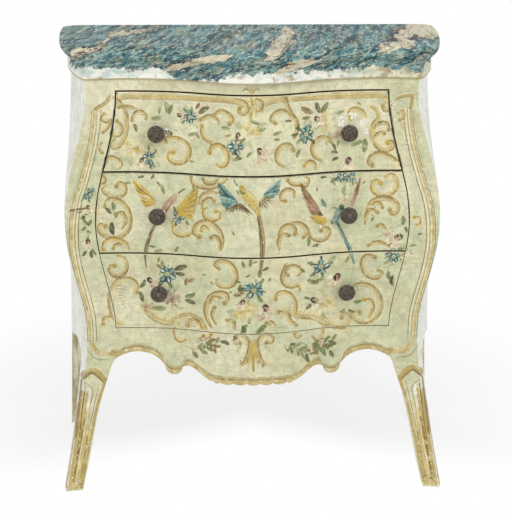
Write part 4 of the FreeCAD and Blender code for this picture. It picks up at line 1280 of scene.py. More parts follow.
YELLOW_BLOSSOMS: tuple[tuple[float, float, float], ...] = (
    (-214, 640, 17.0), (-8, 677, 17.0), (127, 684, 18.0), (-15, 346, 18.0), (134, 349, 17.0),
    (-278, 530, 8.0), (4, 716, 8.0),
)
PINK_BLOSSOMS: tuple[tuple[float, float, float], ...] = (
    (14, 634, 12.0), (150, 660, 10.0), (165, 549, 9.0), (-150, 361, 16.0), (244, 481, 10.0),
    (20, 334, 12.0), (276, 444, 8.0), (-190, 344, 9.0),
)
# x, z, angle, length and tint.
LEAVES: tuple[tuple[float, float, float, float, str], ...] = (
    (-100, 712, 60, 12, "RED"), (-95, 704, 35, 20, "BROWN"), (-152, 702, 95, 18, "MOSS"),
    (-148, 700, 70, 16, "LEAF"), (-180, 692, 8, 18, "MOSS"), (-166, 700, 80, 12, "MOSS"),
    (-114, 664, 20, 14, "MOSS"), (-183, 634, 100, 11, "LEAF"), (-56, 684, -10, 14, "MOSS"),
    (-50, 668, 20, 12, "OCHRE"), (-40, 636, 10, 13, "SIENNA"), (-36, 626, 15, 15, "BROWN"),
    (-12, 632, 40, 12, "MOSS"), (10, 690, 160, 14, "LEAF"), (22, 682, 190, 16, "MOSS"),
    (34, 670, 20, 14, "MOSS"), (118, 703, 110, 18, "OLIVE"), (120, 702, 55, 20, "LEAF"),
    (84, 715, -28, 21, "SIENNA"), (86, 696, 0, 13, "LEAF"), (66, 668, 10, 12, "OLIVE"),
    (82, 643, -110, 14, "LEAF"), (140, 648, -60, 12, "BROWN"), (138, 633, -10, 12, "BROWN"),
    (140, 618, 20, 12, "BROWN"), (196, 650, 200, 20, "MOSS"), (200, 655, -95, 22, "LEAF"),
    (-206, 668, 110, 14, "SIENNA"), (150, 700, 20, 12, "MOSS"), (-158, 672, -20, 16, "BROWN"),
    (-156, 662, -70, 13, "OCHRE"), (55, 694, 0, 11, "SIENNA"), (-250, 528, 95, 15, "LEAF"),
    (-254, 522, 130, 14, "OLIVE"), (-246, 514, 70, 12, "MOSS"), (-253, 507, -85, 21, "UMBER"),
    (-205, 588, 10, 10, "UMBER"), (-182, 586, 60, 10, "BROWN"), (-172, 582, -50, 11, "ROSE"),
    (-158, 560, 100, 16, "MOSS"), (130, 590, 180, 10, "OLIVE"), (152, 586, 200, 14, "OLIVE"),
    (146, 574, 110, 14, "MOSS"), (164, 572, -100, 14, "MOSS"), (112, 566, 80, 7, "OLIVE"),
    (122, 552, -60, 16, "TEAL"), (98, 466, 90, 16, "LEAF"), (106, 465, 10, 12, "BROWN"),
    (270, 498, 90, 16, "LEAF"), (274, 495, -60, 12, "OLIVE"), (-178, 452, 20, 14, "MOSS"),
    (-140, 453, 60, 12, "LEAF"), (-142, 418, 22, 22, "BROWN"), (-141, 412, -8, 16, "OLIVE"),
    (-206, 380, 60, 17, "OLIVE"), (-201, 352, 100, 18, "OLIVE"), (-200, 362, 130, 12, "LEAF"),
    (-186, 340, 0, 24, "MOSS"), (-124, 366, 20, 18, "LEAF"), (-124, 360, -20, 18, "OLIVE"),
    (-122, 388, 80, 14, "SIENNA"), (-120, 396, 30, 14, "ROSE"), (-165, 418, 140, 12, "SIENNA"),
    (-20, 378, 100, 18, "SIENNA"), (-22, 376, 180, 13, "RED"), (-16, 430, 110, 12, "SIENNA"),
    (-14, 412, 30, 9, "SIENNA"), (-6, 432, 85, 14, "LEAF"), (12, 410, 85, 16, "LEAF"),
    (16, 424, 30, 12, "OLIVE"), (28, 402, 70, 8, "SIENNA"), (-22, 402, 160, 10, "LEAF"),
    (-22, 302, 60, 18, "LEAF"), (-8, 320, 80, 14, "OLIVE"), (6, 302, 40, 20, "LEAF"),
    (-14, 302, 110, 15, "OLIVE"), (12, 302, 75, 15, "LEAF"), (98, 400, -20, 20, "SIENNA"),
    (112, 396, 10, 14, "LEAF"), (96, 342, 40, 14, "OLIVE"), (92, 366, -20, 12, "LEAF"),
    (124, 436, 100, 10, "NAVY"), (136, 426, 30, 9, "OLIVE"), (257, 380, 92, 18, "UMBER"),
    (251, 392, 100, 16, "LEAF"), (186, 348, 10, 14, "LEAF"), (176, 334, -30, 12, "OLIVE"),
    (168, 428, 60, 14, "MOSS"), (274, 444, 60, 12, "SIENNA"), (246, 458, 40, 8, "OLIVE"),
    (-302, 522, 40, 12, "LEAF"), (-302, 508, 100, 12, "OLIVE"), (-296, 500, 60, 13, "LEAF"),
    (-300, 455, 230, 12, "OLIVE"), (-290, 458, -60, 13, "LEAF"), (-292, 455, -85, 13, "UMBER"),
    (298, 480, 20, 8, "OLIVE"), (284, 458, 10, 12, "MOSS"),
)
# Leaves, length of a leaf, then the points of the stem.
SPRIGS: tuple[tuple[int, float, tuple[Point, ...]], ...] = (
    (9, 15.6, ((-128, 268), (-106, 264), (-84, 270), (-60, 284))),
    (7, 13.2, ((-104, 278), (-88, 284), (-70, 272))),
    (10, 15.6, ((44, 284), (62, 274), (82, 264), (104, 252))),
    (9, 15.6, ((88, 278), (104, 268), (122, 264), (142, 256))),
    (6, 14.4, ((112, 284), (126, 274), (146, 274))),
    (5, 9.6, ((-300, 532), (-301, 505), (-295, 482))),
)
FLOWERING_LEAF = 10.0           # a sprig with longer leaves than this carries a blossom


def apron_edge(half: int = 262, step: int = 4, reach: float = 5.0, front_y: float = -110.0) -> np.ndarray:
    """The apron's lower edge from leg to leg, in millimetres, read off the frame's own solid.

    Args:
        half: Half the width to read.
        step: Distance between the places read.
        reach: How far to each side of a place the solid's points count.
        front_y: Points further back than this belong to the apron's inside.

    Returns:
        Place across and height of the edge, one row each.
    """
    points = np.array([tuple(vertex.co) for vertex in frame["nodes"]["apron_front"].data.vertices]) / MM
    front = points[points[:, 1] < front_y]
    edge = []
    for x in np.arange(-half, half + 1, step):
        near = front[np.abs(front[:, 0] - x) < reach]
        if len(near):
            edge.append((float(x), float(near[:, 2].min())))
    return np.array(edge)


def bead_line(knee: float = 251.0, rise: float = 5.2) -> list[Point]:
    """The middle of the bead, a rise above the apron's edge and turned up at both knees, in millimetres."""
    edge = apron_edge()
    middle = [tuple(point) for point in edge[np.abs(edge[:, 0]) < knee] + (0.0, rise)]
    turned_up = ((262, 250), (279, 251), (290, 259), (298, 272))
    return mirrored(reversed(turned_up), -1) + middle + list(turned_up)


def stile_line(side: int, away: float = 0.0) -> list[Point]:
    """A line down one stile, a distance outside the middle of its bead."""
    return [(side * (x + away), z) for x, z in STILE_LINE]


@dataclass
class FrontDecoration:
    """Everything painted on the front."""

    painter: Painter = field(default_factory=Painter)

    def borders(self) -> None:
        """Pale ochre band along the top drawer and the lines along stiles, apron and legs."""
        pull = self.painter.pull
        band = ((-240, 716), (-236, 727), (-222, 731), (-190, 731), (-120, 732), (-60, 732), (-30, 729),
                (-18, 722))
        for side in (1, -1):
            for width, tint, cover, press, shift in (
                    (13.0, Tint.PALE_OCHRE, 1.0, (0.7, 0.6), 0.0), (8.5, Tint.OCHRE, 0.52, (0.7, 0.5), 0.0),
                    (3.2, Tint.CREAM, 0.38, (0.5, 0.3), 2.5), (2.8, Tint.SIENNA, 0.60, (0.8, 0.4), -5.4)):
                pull(mirrored(band, side), width, tint, cover, press, side * shift, full=0.3)
        pull(((-26, 734), (-4, 729), (10, 734), (40, 736)), 6.0, Tint.PALE_OCHRE, 0.9)
        pull(((-4, 737), (-2, 722), (-5, 706), (-3, 692)), 8.5, Tint.GOLD, 0.85, press=(0.7, 0.2))
        pull(((-4, 734), (-2, 718), (-5, 700)), 2.4, Tint.SIENNA, 0.75)
        pull(((-5, 752), (-2, 746), (-4, 740)), 6.0, Tint.GOLD, 0.80, press=(0.7, 0.5))
        for side in (-1, 1):
            for points, width, cover in ((((15, 746), (12, 751), (5, 749), (2, 742)), 4.0, 0.80),
                                         (((3, 716), (12, 722), (20, 716), (17, 707)), 5.0, 0.85)):
                pull([(x - 3, z) for x, z in mirrored(points, side)], width, Tint.OCHRE, cover)
        for points, width in ((((-251, 732), (-255, 725), (-262, 718), (-272, 712), (-280, 707)), 7.5),
                              (((254, 724), (266, 729), (283, 731), (284, 722), (281, 704)), 6.5)):
            pull(points, width, Tint.OCHRE, 0.9, press=(0.6, 0.9), full=0.3)
            pull(points, width * 0.3, Tint.SIENNA, 0.7, press=(0.5, 0.8), shift=-width * 0.42, full=0.3)
            pull(points, width * 0.35, Tint.CREAM, 0.6, press=(0.5, 0.8), shift=width * 0.55, full=0.3)
        for side in (-1, 1):
            for away, width, tint, cover in ((-7.0, 3.6, Tint.CREAM, 0.60), (-10.2, 2.2, Tint.SIENNA, 0.85),
                                             (5.8, 2.0, Tint.BROWN, 0.65), (9.5, 1.2, Tint.OLIVE, 0.35)):
                pull(stile_line(side, away), width, tint, cover, press=(0.9, 0.5), full=0.2)
            pull(mirrored(((308, 264), (291, 243), (264, 238)), side), 2.2, Tint.BROWN, 0.6)
        bead = [(x, z) for x, z in bead_line() if abs(x) < 278]
        for rise, width, tint, cover in ((5.6, 3.4, Tint.OCHRE, 0.85), (4.2, 2.0, Tint.BROWN, 0.85),
                                         (8.4, 1.6, Tint.SIENNA, 0.65)):
            pull([(x, z + rise) for x, z in bead], width, tint, cover, press=(0.7, 0.7), full=0.2)

    def painted_gap_shade_lines(self) -> None:
        """Painted shade: dark strokes along the gaps round the drawers, so that the gaps read black."""
        pull = self.painter.pull
        upper = ((240.5, 739), (242.7, 720), (245.2, 700), (249.3, 675), (254, 650), (260.5, 625), (267, 601))
        lower = ((268, 596), (273, 575), (278, 550), (282, 500), (281, 475), (278, 450))
        for side in (-1, 1):
            for points, width, cover in ((upper, 6.2, 0.95), (lower, 2.4, 0.8)):
                pull(mirrored(points, side), width, Tint.UMBER, cover, press=(0.9, 0.9), full=0.2)
        for z, half, width in ((739.7, 242, 5.0), (598.0, 267, 6.0), (448.2, 277, 4.6)):
            points = [(x, z) for x in np.linspace(-half, half, 15)]
            pull(points, width, Tint.UMBER, 0.9, press=(0.9, 0.9), full=0.2)

    def left_bird(self) -> None:
        """Bird with yellow wings, a rosy body and a brown tail."""
        p = self.painter
        for points, width, tint in (
                (((-150, 540), (-166, 516), (-180, 494), (-190, 470), (-195, 446), (-193, 420)), 7.0,
                 Tint.BROWN),
                (((-152, 536), (-170, 510), (-182, 486), (-187, 464)), 5.0, Tint.ROSE),
                (((-160, 520), (-176, 500), (-186, 476), (-192, 440)), 2.4, Tint.UMBER),
                (((-158, 530), (-172, 506), (-184, 480)), 2.0, Tint.PINK)):
            p.pull(points, width, tint, 0.8, press=(0.8, 0.2))
        p.feathers((-176, 545), ((-213, 582), (-208, 568), (-203, 557), (-200, 547), (-196, 538)), 10.0,
                   (Tint.YELLOW, Tint.GOLD, Tint.LEMON), 0.75)
        p.pull(((-213, 583), (-200, 566), (-182, 554), (-172, 545)), 3.0, Tint.SIENNA, 0.7)
        p.feathers((-135, 528), ((-97, 578), (-98, 566), (-99, 554), (-101, 543), (-103, 532), (-107, 521)),
                   9.0, (Tint.GOLD, Tint.YELLOW, Tint.GOLD, Tint.OCHRE), 0.8)
        p.pull(((-97, 580), (-100, 560), (-103, 545)), 2.6, Tint.SIENNA, 0.75)
        p.fringe(((-124, 530), (-112, 520)), -70, 60, 10, Tint.GOLD)
        p.pull(((-136, 560), (-144, 550), (-154, 538), (-162, 522)), 17.0, Tint.ROSE, 0.80, press=(0.5, 0.4))
        p.pull(((-142, 556), (-152, 542), (-162, 524)), 6.0, Tint.OCHRE, 0.6)
        p.pull(((-138, 560), (-148, 546), (-158, 530)), 5.0, Tint.PINK, 0.75)
        p.pull(((-146, 552), (-156, 536), (-164, 520)), 2.0, Tint.BROWN, 0.6, shift=5.0)
        p.dot(-135, 560, 5.0, Tint.PINK, 0.85)
        p.pull(((-132, 563), (-126, 568), (-119, 572)), 3.6, Tint.BROWN, 0.85, press=(1.0, 0.2))

    def middle_bird(self) -> None:
        """Bird with blue wings over brown coverts, a yellow body and a red-brown tail."""
        p = self.painter
        for points, width, tint in (
                (((8, 535), (13, 510), (16, 480), (15, 450), (12, 418)), 11.0, Tint.SIENNA),
                (((6, 530), (10, 505), (12, 476), (12, 450)), 4.0, Tint.BROWN),
                (((12, 530), (17, 500), (20, 470), (19, 448)), 3.0, Tint.OCHRE),
                (((8, 525), (13, 495), (16, 462), (14, 430)), 2.0, Tint.UMBER)):
            p.pull(points, width, tint, 0.8, press=(0.35, 0.35))
        p.feathers((-30, 550), ((-62, 585), (-60, 572), (-59, 560), (-56, 549), (-50, 540), (-44, 536)), 9.0,
                   (Tint.TEAL, Tint.BLUE, Tint.SKY), 0.80)
        p.pull(((-62, 587), (-50, 568), (-30, 556)), 3.0, Tint.NAVY, 0.8)
        p.fringe(((-36, 546), (-28, 552), (-20, 550), (-14, 543)), -95, 110, 19, Tint.SIENNA)
        p.fringe(((-32, 548), (-24, 550), (-16, 545)), -88, 80, 14, Tint.BROWN)
        p.feathers((18, 564), ((49, 592), (47, 582), (46, 573), (44, 565), (36, 561)), 8.0,
                   (Tint.SKY, Tint.TEAL, Tint.BLUE), 0.85)
        p.pull(((18, 566), (30, 574), (48, 590)), 2.6, Tint.BLUE, 0.75)
        p.fringe(((10, 556), (14, 561), (20, 560)), -35, 110, 20, Tint.SIENNA)
        p.fringe(((10, 552), (15, 558)), -60, 90, 16, Tint.BROWN)
        body = ((-22, 580), (-14, 570), (-2, 556), (6, 540), (8, 528))
        p.pull(body, 17.0, Tint.YELLOW, 0.78, press=(0.5, 0.4))
        p.pull(((-24, 578), (-16, 566), (-4, 550), (4, 536)), 6.0, Tint.GOLD, 0.8, shift=-4.0)
        p.pull(((-16, 574), (-4, 560), (6, 544)), 2.5, Tint.LEMON, 0.7, shift=4.0)
        for spot in ((-12, 564), (-6, 556), (0, 548), (4, 556), (-2, 566), (6, 542), (-8, 548), (2, 538)):
            p.dot(*spot, 1.6, Tint.SIENNA, 0.6)
        p.dot(-21, 579, 6.0, Tint.GOLD, 0.9)
        p.pull(((-28, 582), (-32, 587), (-34, 594)), 3.0, Tint.OLIVE, 0.8, press=(0.9, 0.2))
        p.dot(-22, 581, 1.1, Tint.UMBER)

    def right_bird(self) -> None:
        """Bird with a pink and yellow wing, a blue-green body and tail."""
        p = self.painter
        for points, width, tint in (
                (((148, 512), (156, 494), (166, 474), (176, 452), (184, 424)), 9.0, Tint.TEAL),
                (((150, 508), (160, 486), (170, 462), (178, 440)), 4.0, Tint.NAVY),
                (((152, 500), (163, 478), (172, 458)), 2.0, Tint.SKY)):
            p.pull(points, width, tint, 0.85, press=(0.6, 0.3))
        p.feathers((120, 522), ((83, 582), (87, 566), (91, 552), (96, 540), (101, 530)), 8.0,
                   (Tint.SIENNA, Tint.ROSE, Tint.PINK, Tint.ROSE), 0.8)
        p.pull(((83, 584), (90, 562), (104, 542), (122, 524)), 3.2, Tint.BROWN, 0.75)
        p.pull(((84, 572), (92, 550), (100, 534)), 2.2, Tint.BROWN, 0.6, shift=3.0)
        p.feathers((130, 512), ((101, 522), (106, 514), (113, 509), (121, 505)), 7.5,
                   (Tint.GOLD, Tint.YELLOW), 0.9)
        p.pull(((114, 528), (124, 521)), 7.0, Tint.UMBER, 0.8)
        p.pull(((160, 536), (152, 522), (146, 508), (138, 508)), 17.0, Tint.TEAL, 0.8, press=(0.6, 0.3))
        p.pull(((156, 530), (150, 516), (142, 508)), 6.0, Tint.SKY, 0.6)
        p.dot(158, 534, 6.5, Tint.NAVY, 0.85)
        p.pull(((150, 533), (143, 534), (137, 533)), 2.6, Tint.UMBER, 0.8, press=(1.0, 0.2))
        p.feathers((177, 535), ((192, 586), (188, 574), (184, 562)), 6.0,
                   (Tint.ROSE, Tint.SIENNA, Tint.PINK), 0.8)
        p.pull(((192, 588), (188, 566), (180, 544)), 2.6, Tint.BROWN, 0.75)

    def wear(self) -> None:
        """White chips round the knobs, filled nail holes and the old crack in the left stile."""
        p = self.painter
        for x, z, spread, count in ((158, 684, 11, 26), (194, 682, 9, 22), (202, 669, 7, 14),
                                    (176, 693, 8, 10), (-150, 668, 8, 9), (-160, 524, 10, 10)):
            for _ in range(count):
                spot = towards(x, z, p.random.uniform(0, 360), p.random.uniform(0, spread))
                p.dot(*spot, p.random.uniform(0.8, 3.0), Tint.WHITE, 0.95)
        for x, z in ((-255, 297), (270, 256), (0, 583), (60, 690), (-60, 600), (120, 500)):
            p.dot(x, z, 2.0, Tint.WHITE, 0.9)
        for points, width in ((((-329, 531), (-312, 533), (-297, 534)), 5.5),
                              (((-318, 527), (-305, 528)), 3.0)):
            p.pull(points, width, Tint.BROWN, 0.9, press=(0.4, 0.5))

    def last_touches(self) -> None:
        """A cream line of painted highlight on the crown of the stile beads and a thin sienna line beside it,
        stippling among the flowers, and stray small leaves.
        """
        p = self.painter
        for side in (-1, 1):
            # The cream line runs on the crown of the raised bead, a painted highlight over the pale band
            # between the bead's ochre lines; the sienna line follows the bead's inner edge.
            for away, width, tint, cover in ((-1.4, 3.0, Tint.CREAM, 0.72), (-3.9, 1.5, Tint.SIENNA, 0.60)):
                p.pull(stile_line(side, away), width, tint, cover, press=(0.9, 0.5), full=0.2)
        tones = (Tint.GOLD, Tint.SIENNA, Tint.BROWN, Tint.OLIVE)
        for x, z, spread, count in ((-140, 663, 13, 26), (-135, 515, 14, 26), (-148, 362, 16, 40),
                                    (-4, 545, 12, 16), (213, 524, 10, 14), (187, 384, 14, 26),
                                    (150, 655, 10, 16)):
            for _ in range(count):
                spot = towards(x, z, p.random.uniform(0, 360), spread * p.random.uniform(0, 1) ** 0.6)
                p.dot(*spot, p.random.uniform(0.7, 1.9), p.random.choice(tones), 0.7)
        for _ in range(40):
            x, z = p.random.uniform(-235, 240), p.random.uniform(310, 730)
            angle, length = p.random.uniform(0, 360), p.random.uniform(6, 11)
            p.leaf(x, z, angle, length, p.random.choice((Tint.MOSS, Tint.LEAF)))

    def crescents(self) -> None:
        """Large leafy scrolls of the lowest drawer."""
        p = self.painter
        p.scroll(((-213, 371), (-212, 384), (-222, 395), (-238, 395), (-252, 385), (-259, 366), (-260, 345),
                  (-257, 325), (-249, 312), (-241, 307)), 9.0, Tint.PALE_OCHRE)
        for k in range(7):
            p.dab(-251 + 1.5 * k, 384 - 6 * k, -8 - 6 * k, 20 - 1.5 * k, 2.6, Tint.SIENNA, 0.5, 0.1)
        for sweep, width in ((((-198, 345), (-191, 331), (-176, 319), (-158, 313), (-138, 315)), 12.0),
                             (((-148, 314), (-126, 326), (-108, 326), (-94, 316), (-86, 303)), 10.0),
                             (((62, 340), (86, 331), (112, 326), (132, 313), (150, 303), (172, 298)), 12.0)):
            p.scroll(sweep, width, Tint.PALE_OCHRE)
            p.pull(sweep, width * 0.3, Tint.OCHRE, 0.6, shift=width * 0.1)
        for x, z, angle in ((-176, 328, 60), (-160, 322, 50), (-142, 322, 70), (92, 334, 40), (112, 330, 30),
                            (74, 340, 60), (100, 318, -140)):
            p.dab(x, z, angle, 15, 5.0, Tint.PALE_OCHRE, 0.6, 0.15)

    def shell(self) -> None:
        """Plume and shell in the middle of the apron."""
        p = self.painter
        for side in (-1, 1):
            for points, width, tint, cover, press in (
                    (((3, 290), (7, 270), (12, 252), (22, 239)), 12.0, Tint.OCHRE, 0.85, (0.4, 0.5)),
                    (((6, 292), (10, 270), (17, 250), (26, 241)), 3.0, Tint.SIENNA, 0.75, (0.3, 0.6)),
                    (((2, 286), (4, 262), (9, 242)), 6.0, Tint.GOLD, 0.8, (0.35, 0.15))):
                p.pull(mirrored(points, side), width, tint, cover, press)
            p.dab(side * 20, 243, 180 + side * 60, 9, 4.0, Tint.SIENNA, 0.8)
            p.dab(side * 27, 268, 90 + side * 30, 13, 6.0, Tint.MOSS, 0.5)
            p.pull(mirrored(((26, 262), (30, 272), (24, 278)), side), 3.0, Tint.OCHRE, 0.6)
        p.pull(((0, 284), (0, 262), (0, 244), (0, 228)), 7.0, Tint.GOLD, 0.8, press=(0.5, 0.5))
        p.pull(((0, 262), (0, 244), (0, 228)), 3.0, Tint.SIENNA, 0.75, press=(0.2, 0.7))
        for side in (-1, 1):
            p.pull(mirrored(((11, 256), (10, 242)), side), 2.4, Tint.SIENNA, 0.6)

    def legs(self) -> None:
        """Ochre scroll at each knee and long strokes down each leg."""
        p = self.painter
        heights, inner, outer = np.array(LEG_EDGES, dtype=float).T
        for side in (-1, 1):
            for width, tint, cover, press, points in LEG_STROKES:
                line = []
                for share, z in points:
                    near, far = np.interp(z, heights, outer), np.interp(z, heights, inner)
                    line.append((side * float(near + (far - near) * share), float(z)))
                p.pull(line, width, Tint[tint], cover, press=press, full=0.35)
            for _ in range(16):
                spot = side * p.random.uniform(318, 349), p.random.uniform(2, 26)
                radius = p.random.uniform(0.8, 2.2)
                p.dot(*spot, radius, p.random.choice((Tint.BROWN, Tint.WHITE, Tint.CREAM)), 0.85)

    def paint(self) -> list[Stroke]:
        """Paints the whole front and returns its strokes in the order of painting."""
        p = self.painter
        self.painted_gap_shade_lines()
        self.borders()
        self.crescents()
        for scrolls in (TOP_SCROLLS, MIDDLE_SCROLLS, BOTTOM_SCROLLS, APRON_SCROLLS, STILE_SCROLLS):
            for width, points in scrolls:
                p.scroll(points, width, p.random.choice((Tint.OCHRE, Tint.OCHRE, Tint.OCHRE, Tint.GOLD)))
        self.shell()
        self.legs()
        for leaves, length, points in SPRIGS:
            p.sprig(points, leaves, length)
            if length > FLOWERING_LEAF:
                p.blossom(*points[1], 5.5, (Tint.PINK, Tint.CREAM), Tint.RED)
        for x, z, size in (*BLUE_FLOWERS, *YELLOW_BLOSSOMS, *PINK_BLOSSOMS):
            for _ in range(5):
                angle = p.random.uniform(0, 360)
                p.dab(*towards(x, z, angle, size * 0.9), angle + p.random.uniform(-50, 50), size * 1.1,
                      size * 0.55, p.random.choice((Tint.MOSS, Tint.LEAF, Tint.LEMON)), 0.38,
                      p.random.uniform(-0.3, 0.3))
        for x, z, angle, length, tint in LEAVES:
            p.leaf(x, z, angle, length, Tint[tint])
        for x, z, size in YELLOW_BLOSSOMS:
            p.blossom(x, z, size)
        for x, z, size in PINK_BLOSSOMS:
            p.blossom(x, z, size, (Tint.PINK, Tint.ROSE, Tint.CREAM), Tint.SIENNA)
        for x, z, size, angle in ROSEBUDS:
            p.rosebud(x, z, size, angle)
        for x, z, size in BLUE_FLOWERS:
            p.blue_flower(x, z, size)
        self.left_bird()
        self.middle_bird()
        self.right_bird()
        self.wear()
        self.last_touches()
        log.info("%d strokes painted", len(p.strokes))
        return p.strokes


def make_laid_lines() -> bpy.types.NodeTree:
    """Geometry Nodes tree that turns flat centre lines into strokes laid on a curved front.

    The lines lie in the XY plane, with their height above the floor as Y. Each becomes a ribbon that reaches
    its radius to both sides, is thrown along +Y of the chest onto the surface, and is lifted a little off it.
    """
    tree = bpy.data.node_groups.new("laid_on_the_front", "GeometryNodeTree")
    for name, kind in (("Lines", "Geometry"), ("Surface", "Object"), ("Finish", "Material"),
                       ("Across", "Int")):
        tree.interface.new_socket(name=name, in_out="INPUT", socket_type=f"NodeSocket{kind}")
    tree.interface.new_socket(name="Strokes", in_out="OUTPUT", socket_type="NodeSocketGeometry")
    bench = Bench(tree)
    given = bench.add("NodeGroupInput").outputs
    named = {name: bench.add("GeometryNodeInputNamedAttribute", {"Name": name}, data_type="FLOAT").outputs[0]
             for name in ("radius", "across", "lift", "relief")}
    place = bench.parts(bench.add("GeometryNodeInputPosition").outputs[0])
    curve = bench.add("GeometryNodeMeshToCurve", {"Mesh": given["Lines"]}).outputs[0]
    upright = bench.add("GeometryNodeSetCurveNormal", {"Curve": curve}, mode="Z_UP").outputs[0]
    bar = bench.add("GeometryNodeCurvePrimitiveLine", {"Start": (-1, 0, 0), "End": (1, 0, 0)}).outputs[0]
    bar = bench.add("GeometryNodeResampleCurve", {"Curve": bar, "Count": given["Across"]}).outputs[0]
    bar = bench.add("GeometryNodeStoreNamedAttribute", {"Geometry": bar, "Name": "across", "Value": place[0]},
                    data_type="FLOAT", domain="POINT").outputs[0]
    feeds = {"Curve": upright, "Profile Curve": bar, "Scale": named["radius"]}
    ribbon = bench.add("GeometryNodeCurveToMesh", feeds).outputs[0]
    surface = bench.add("GeometryNodeObjectInfo", {"Object": given["Surface"]},
                        transform_space="ORIGINAL").outputs["Geometry"]
    feeds = {"Target Geometry": surface, "Source Position": bench.joined(place[0], -1.0, place[1]),
             "Ray Direction": (0, 1, 0), "Ray Length": 2.0}
    ray = bench.add("GeometryNodeRaycast", feeds).outputs
    missed = bench.add("FunctionNodeBooleanMath", {0: ray["Is Hit"]}, operation="NOT").outputs[0]
    feeds = {"Geometry": ribbon, "Selection": missed}
    kept = bench.add("GeometryNodeDeleteGeometry", feeds, domain="POINT").outputs[0]
    hollow = bench.times(named["across"], named["across"])
    dome = bench.math("SQRT", bench.minus(1.0, hollow, clamp=True))
    height = bench.plus(named["lift"], bench.times(named["relief"], dome))
    above = bench.vector("ADD", ray["Hit Position"], bench.scaled(ray["Hit Normal"], height))[0]
    laid = bench.add("GeometryNodeSetPosition", {"Geometry": kept, "Position": above}).outputs[0]
    facing = bench.parts(bench.add("GeometryNodeInputNormal").outputs[0])[1]
    feeds = {"Mesh": laid, "Selection": bench.math("GREATER_THAN", facing, 0.0)}
    outward = bench.add("GeometryNodeFlipFaces", feeds).outputs[0]
    real = bench.add("GeometryNodeRealizeInstances", {"Geometry": outward}).outputs[0]
    done = bench.add("GeometryNodeSetMaterial", {"Geometry": real, "Material": given["Finish"]}).outputs[0]
    bench.add("NodeGroupOutput", {"Strokes": done})
    return tree


@dataclass
class LaidStrokes:
    """Strokes of one body, laid on its front as one thin piece."""

    name: str
    body: str
    surface: tuple[str, ...]
    slot: Finish
    across: int = 5
    first_lift: float = 0.11 * MM
    lift_step: float = 0.0022 * MM
    seed_step: float = 0.37

    def target(self) -> bpy.types.Object:
        """A temporary copy of the nodes that carry the strokes, as one object."""
        vertices: list[Any] = []
        faces: list[Any] = []
        for name in self.surface:
            mesh = frame["nodes"][name].data
            start = len(vertices)
            vertices.extend(tuple(vertex.co) for vertex in mesh.vertices)
            faces.extend([start + index for index in face.vertices] for face in mesh.polygons)
        return new_mesh_object(f"{self.name}_target", vertices, faces)

    def lines(self, strokes: Sequence[Stroke]) -> bpy.types.Object:
        """The centre lines as a mesh of edges that carries each stroke's settings."""
        places: list[Any] = []
        edges: list[tuple[int, int]] = []
        names = ("radius", "along", "seed", "cover", "lift", "relief")
        values: list[tuple[float, ...]] = []
        tints: list[float] = []
        for count, stroke in enumerate(strokes):
            start = len(places)
            lift = self.first_lift + count * self.lift_step
            for (x, z), radius, along in zip(stroke.line, stroke.radii, reach_along(stroke.line)):
                places.append((x * MM, z * MM, 0.0))
                values.append((radius * MM, along * MM, count * self.seed_step, stroke.cover, lift,
                               stroke.relief * MM))
                tints.extend(rgba(stroke.tint.value))
            edges.extend((k, k + 1) for k in range(start, len(places) - 1))
        mesh = bpy.data.meshes.new(f"{self.name}_lines")
        mesh.from_pydata(places, edges, [])
        for key, numbers in zip(names, zip(*values)):
            mesh.attributes.new(key, "FLOAT", "POINT").data.foreach_set("value", numbers)
        mesh.attributes.new("tint", "FLOAT_COLOR", "POINT").data.foreach_set("color", tints)
        return add_object(f"{self.name}_lines", mesh)

    def build(self, strokes: Sequence[Stroke], tree: bpy.types.NodeTree, finish: bpy.types.Material) -> None:
        """Lays the strokes and hands the piece to its body."""
        source, target = self.lines(strokes), self.target()
        modifier = source.modifiers.new("laid", "NODES")
        modifier.node_group = tree
        sockets = {item.name: item.identifier for item in tree.interface.items_tree if item.in_out == "INPUT"}
        modifier[sockets["Surface"]] = target
        modifier[sockets["Finish"]] = finish
        modifier[sockets["Across"]] = self.across
        bpy.context.view_layer.update()
        depsgraph = bpy.context.evaluated_depsgraph_get()
        baked = bpy.data.meshes.new_from_object(source.evaluated_get(depsgraph),
                                                preserve_all_data_layers=True, depsgraph=depsgraph)
        source.modifiers.remove(modifier)
        for spare in (source, target):
            bpy.data.objects.remove(spare)
        baked.name = self.name
        baked.shade_smooth()
        piece = add_object(self.name, baked)
        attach(piece, self.body)
        inward = sum(1 for face in baked.polygons if face.normal.y > 0)
        log.info("%s: %d strokes, %d faces, %d of them inward", self.name, len(strokes), len(baked.polygons),
                 inward)


FRONT_NODES: dict[str, tuple[str, ...]] = {
    CARCASS: ("front_post_left", "front_post_right", "apron_front", "top_rail_front"),
    **{body: (f"{body}_front",) for body in DRAWERS},
}


def front_boxes(body: str) -> list[tuple[Vector, Vector]]:
    """The boxes of a body's front nodes."""
    return [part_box(name) for name in FRONT_NODES[body]]


def touches(stroke: Stroke, boxes: Sequence[tuple[Vector, Vector]]) -> bool:
    """Whether a stroke reaches over one of these boxes, seen from the front."""
    half = float(stroke.radii.max())
    low, high = stroke.line.min(axis=0) - half, stroke.line.max(axis=0) + half
    return any(box[0].x < high[0] * MM and box[1].x > low[0] * MM and box[0].z < high[1] * MM
               and box[1].z > low[1] * MM for box in boxes)


@dataclass
class RaisedBeads:
    """Ochre beads that stand up along the stiles and the apron's edge, in millimetres."""

    height: float = 1.5
    sunk: float = 0.25
    stile_width: float = 8.6
    apron_width: float = 9.5

    def strokes(self) -> list[Stroke]:
        """The beads as wide strokes with relief."""
        p = Painter()
        for side in (-1, 1):
            p.pull(stile_line(side), self.stile_width, Tint.OCHRE, 1.0, press=(0.9, 0.7), full=0.2,
                   relief=self.height)
        p.pull(bead_line(), self.apron_width, Tint.OCHRE, 1.0, press=(0.7, 0.7), full=0.2, relief=self.height)
        return p.strokes


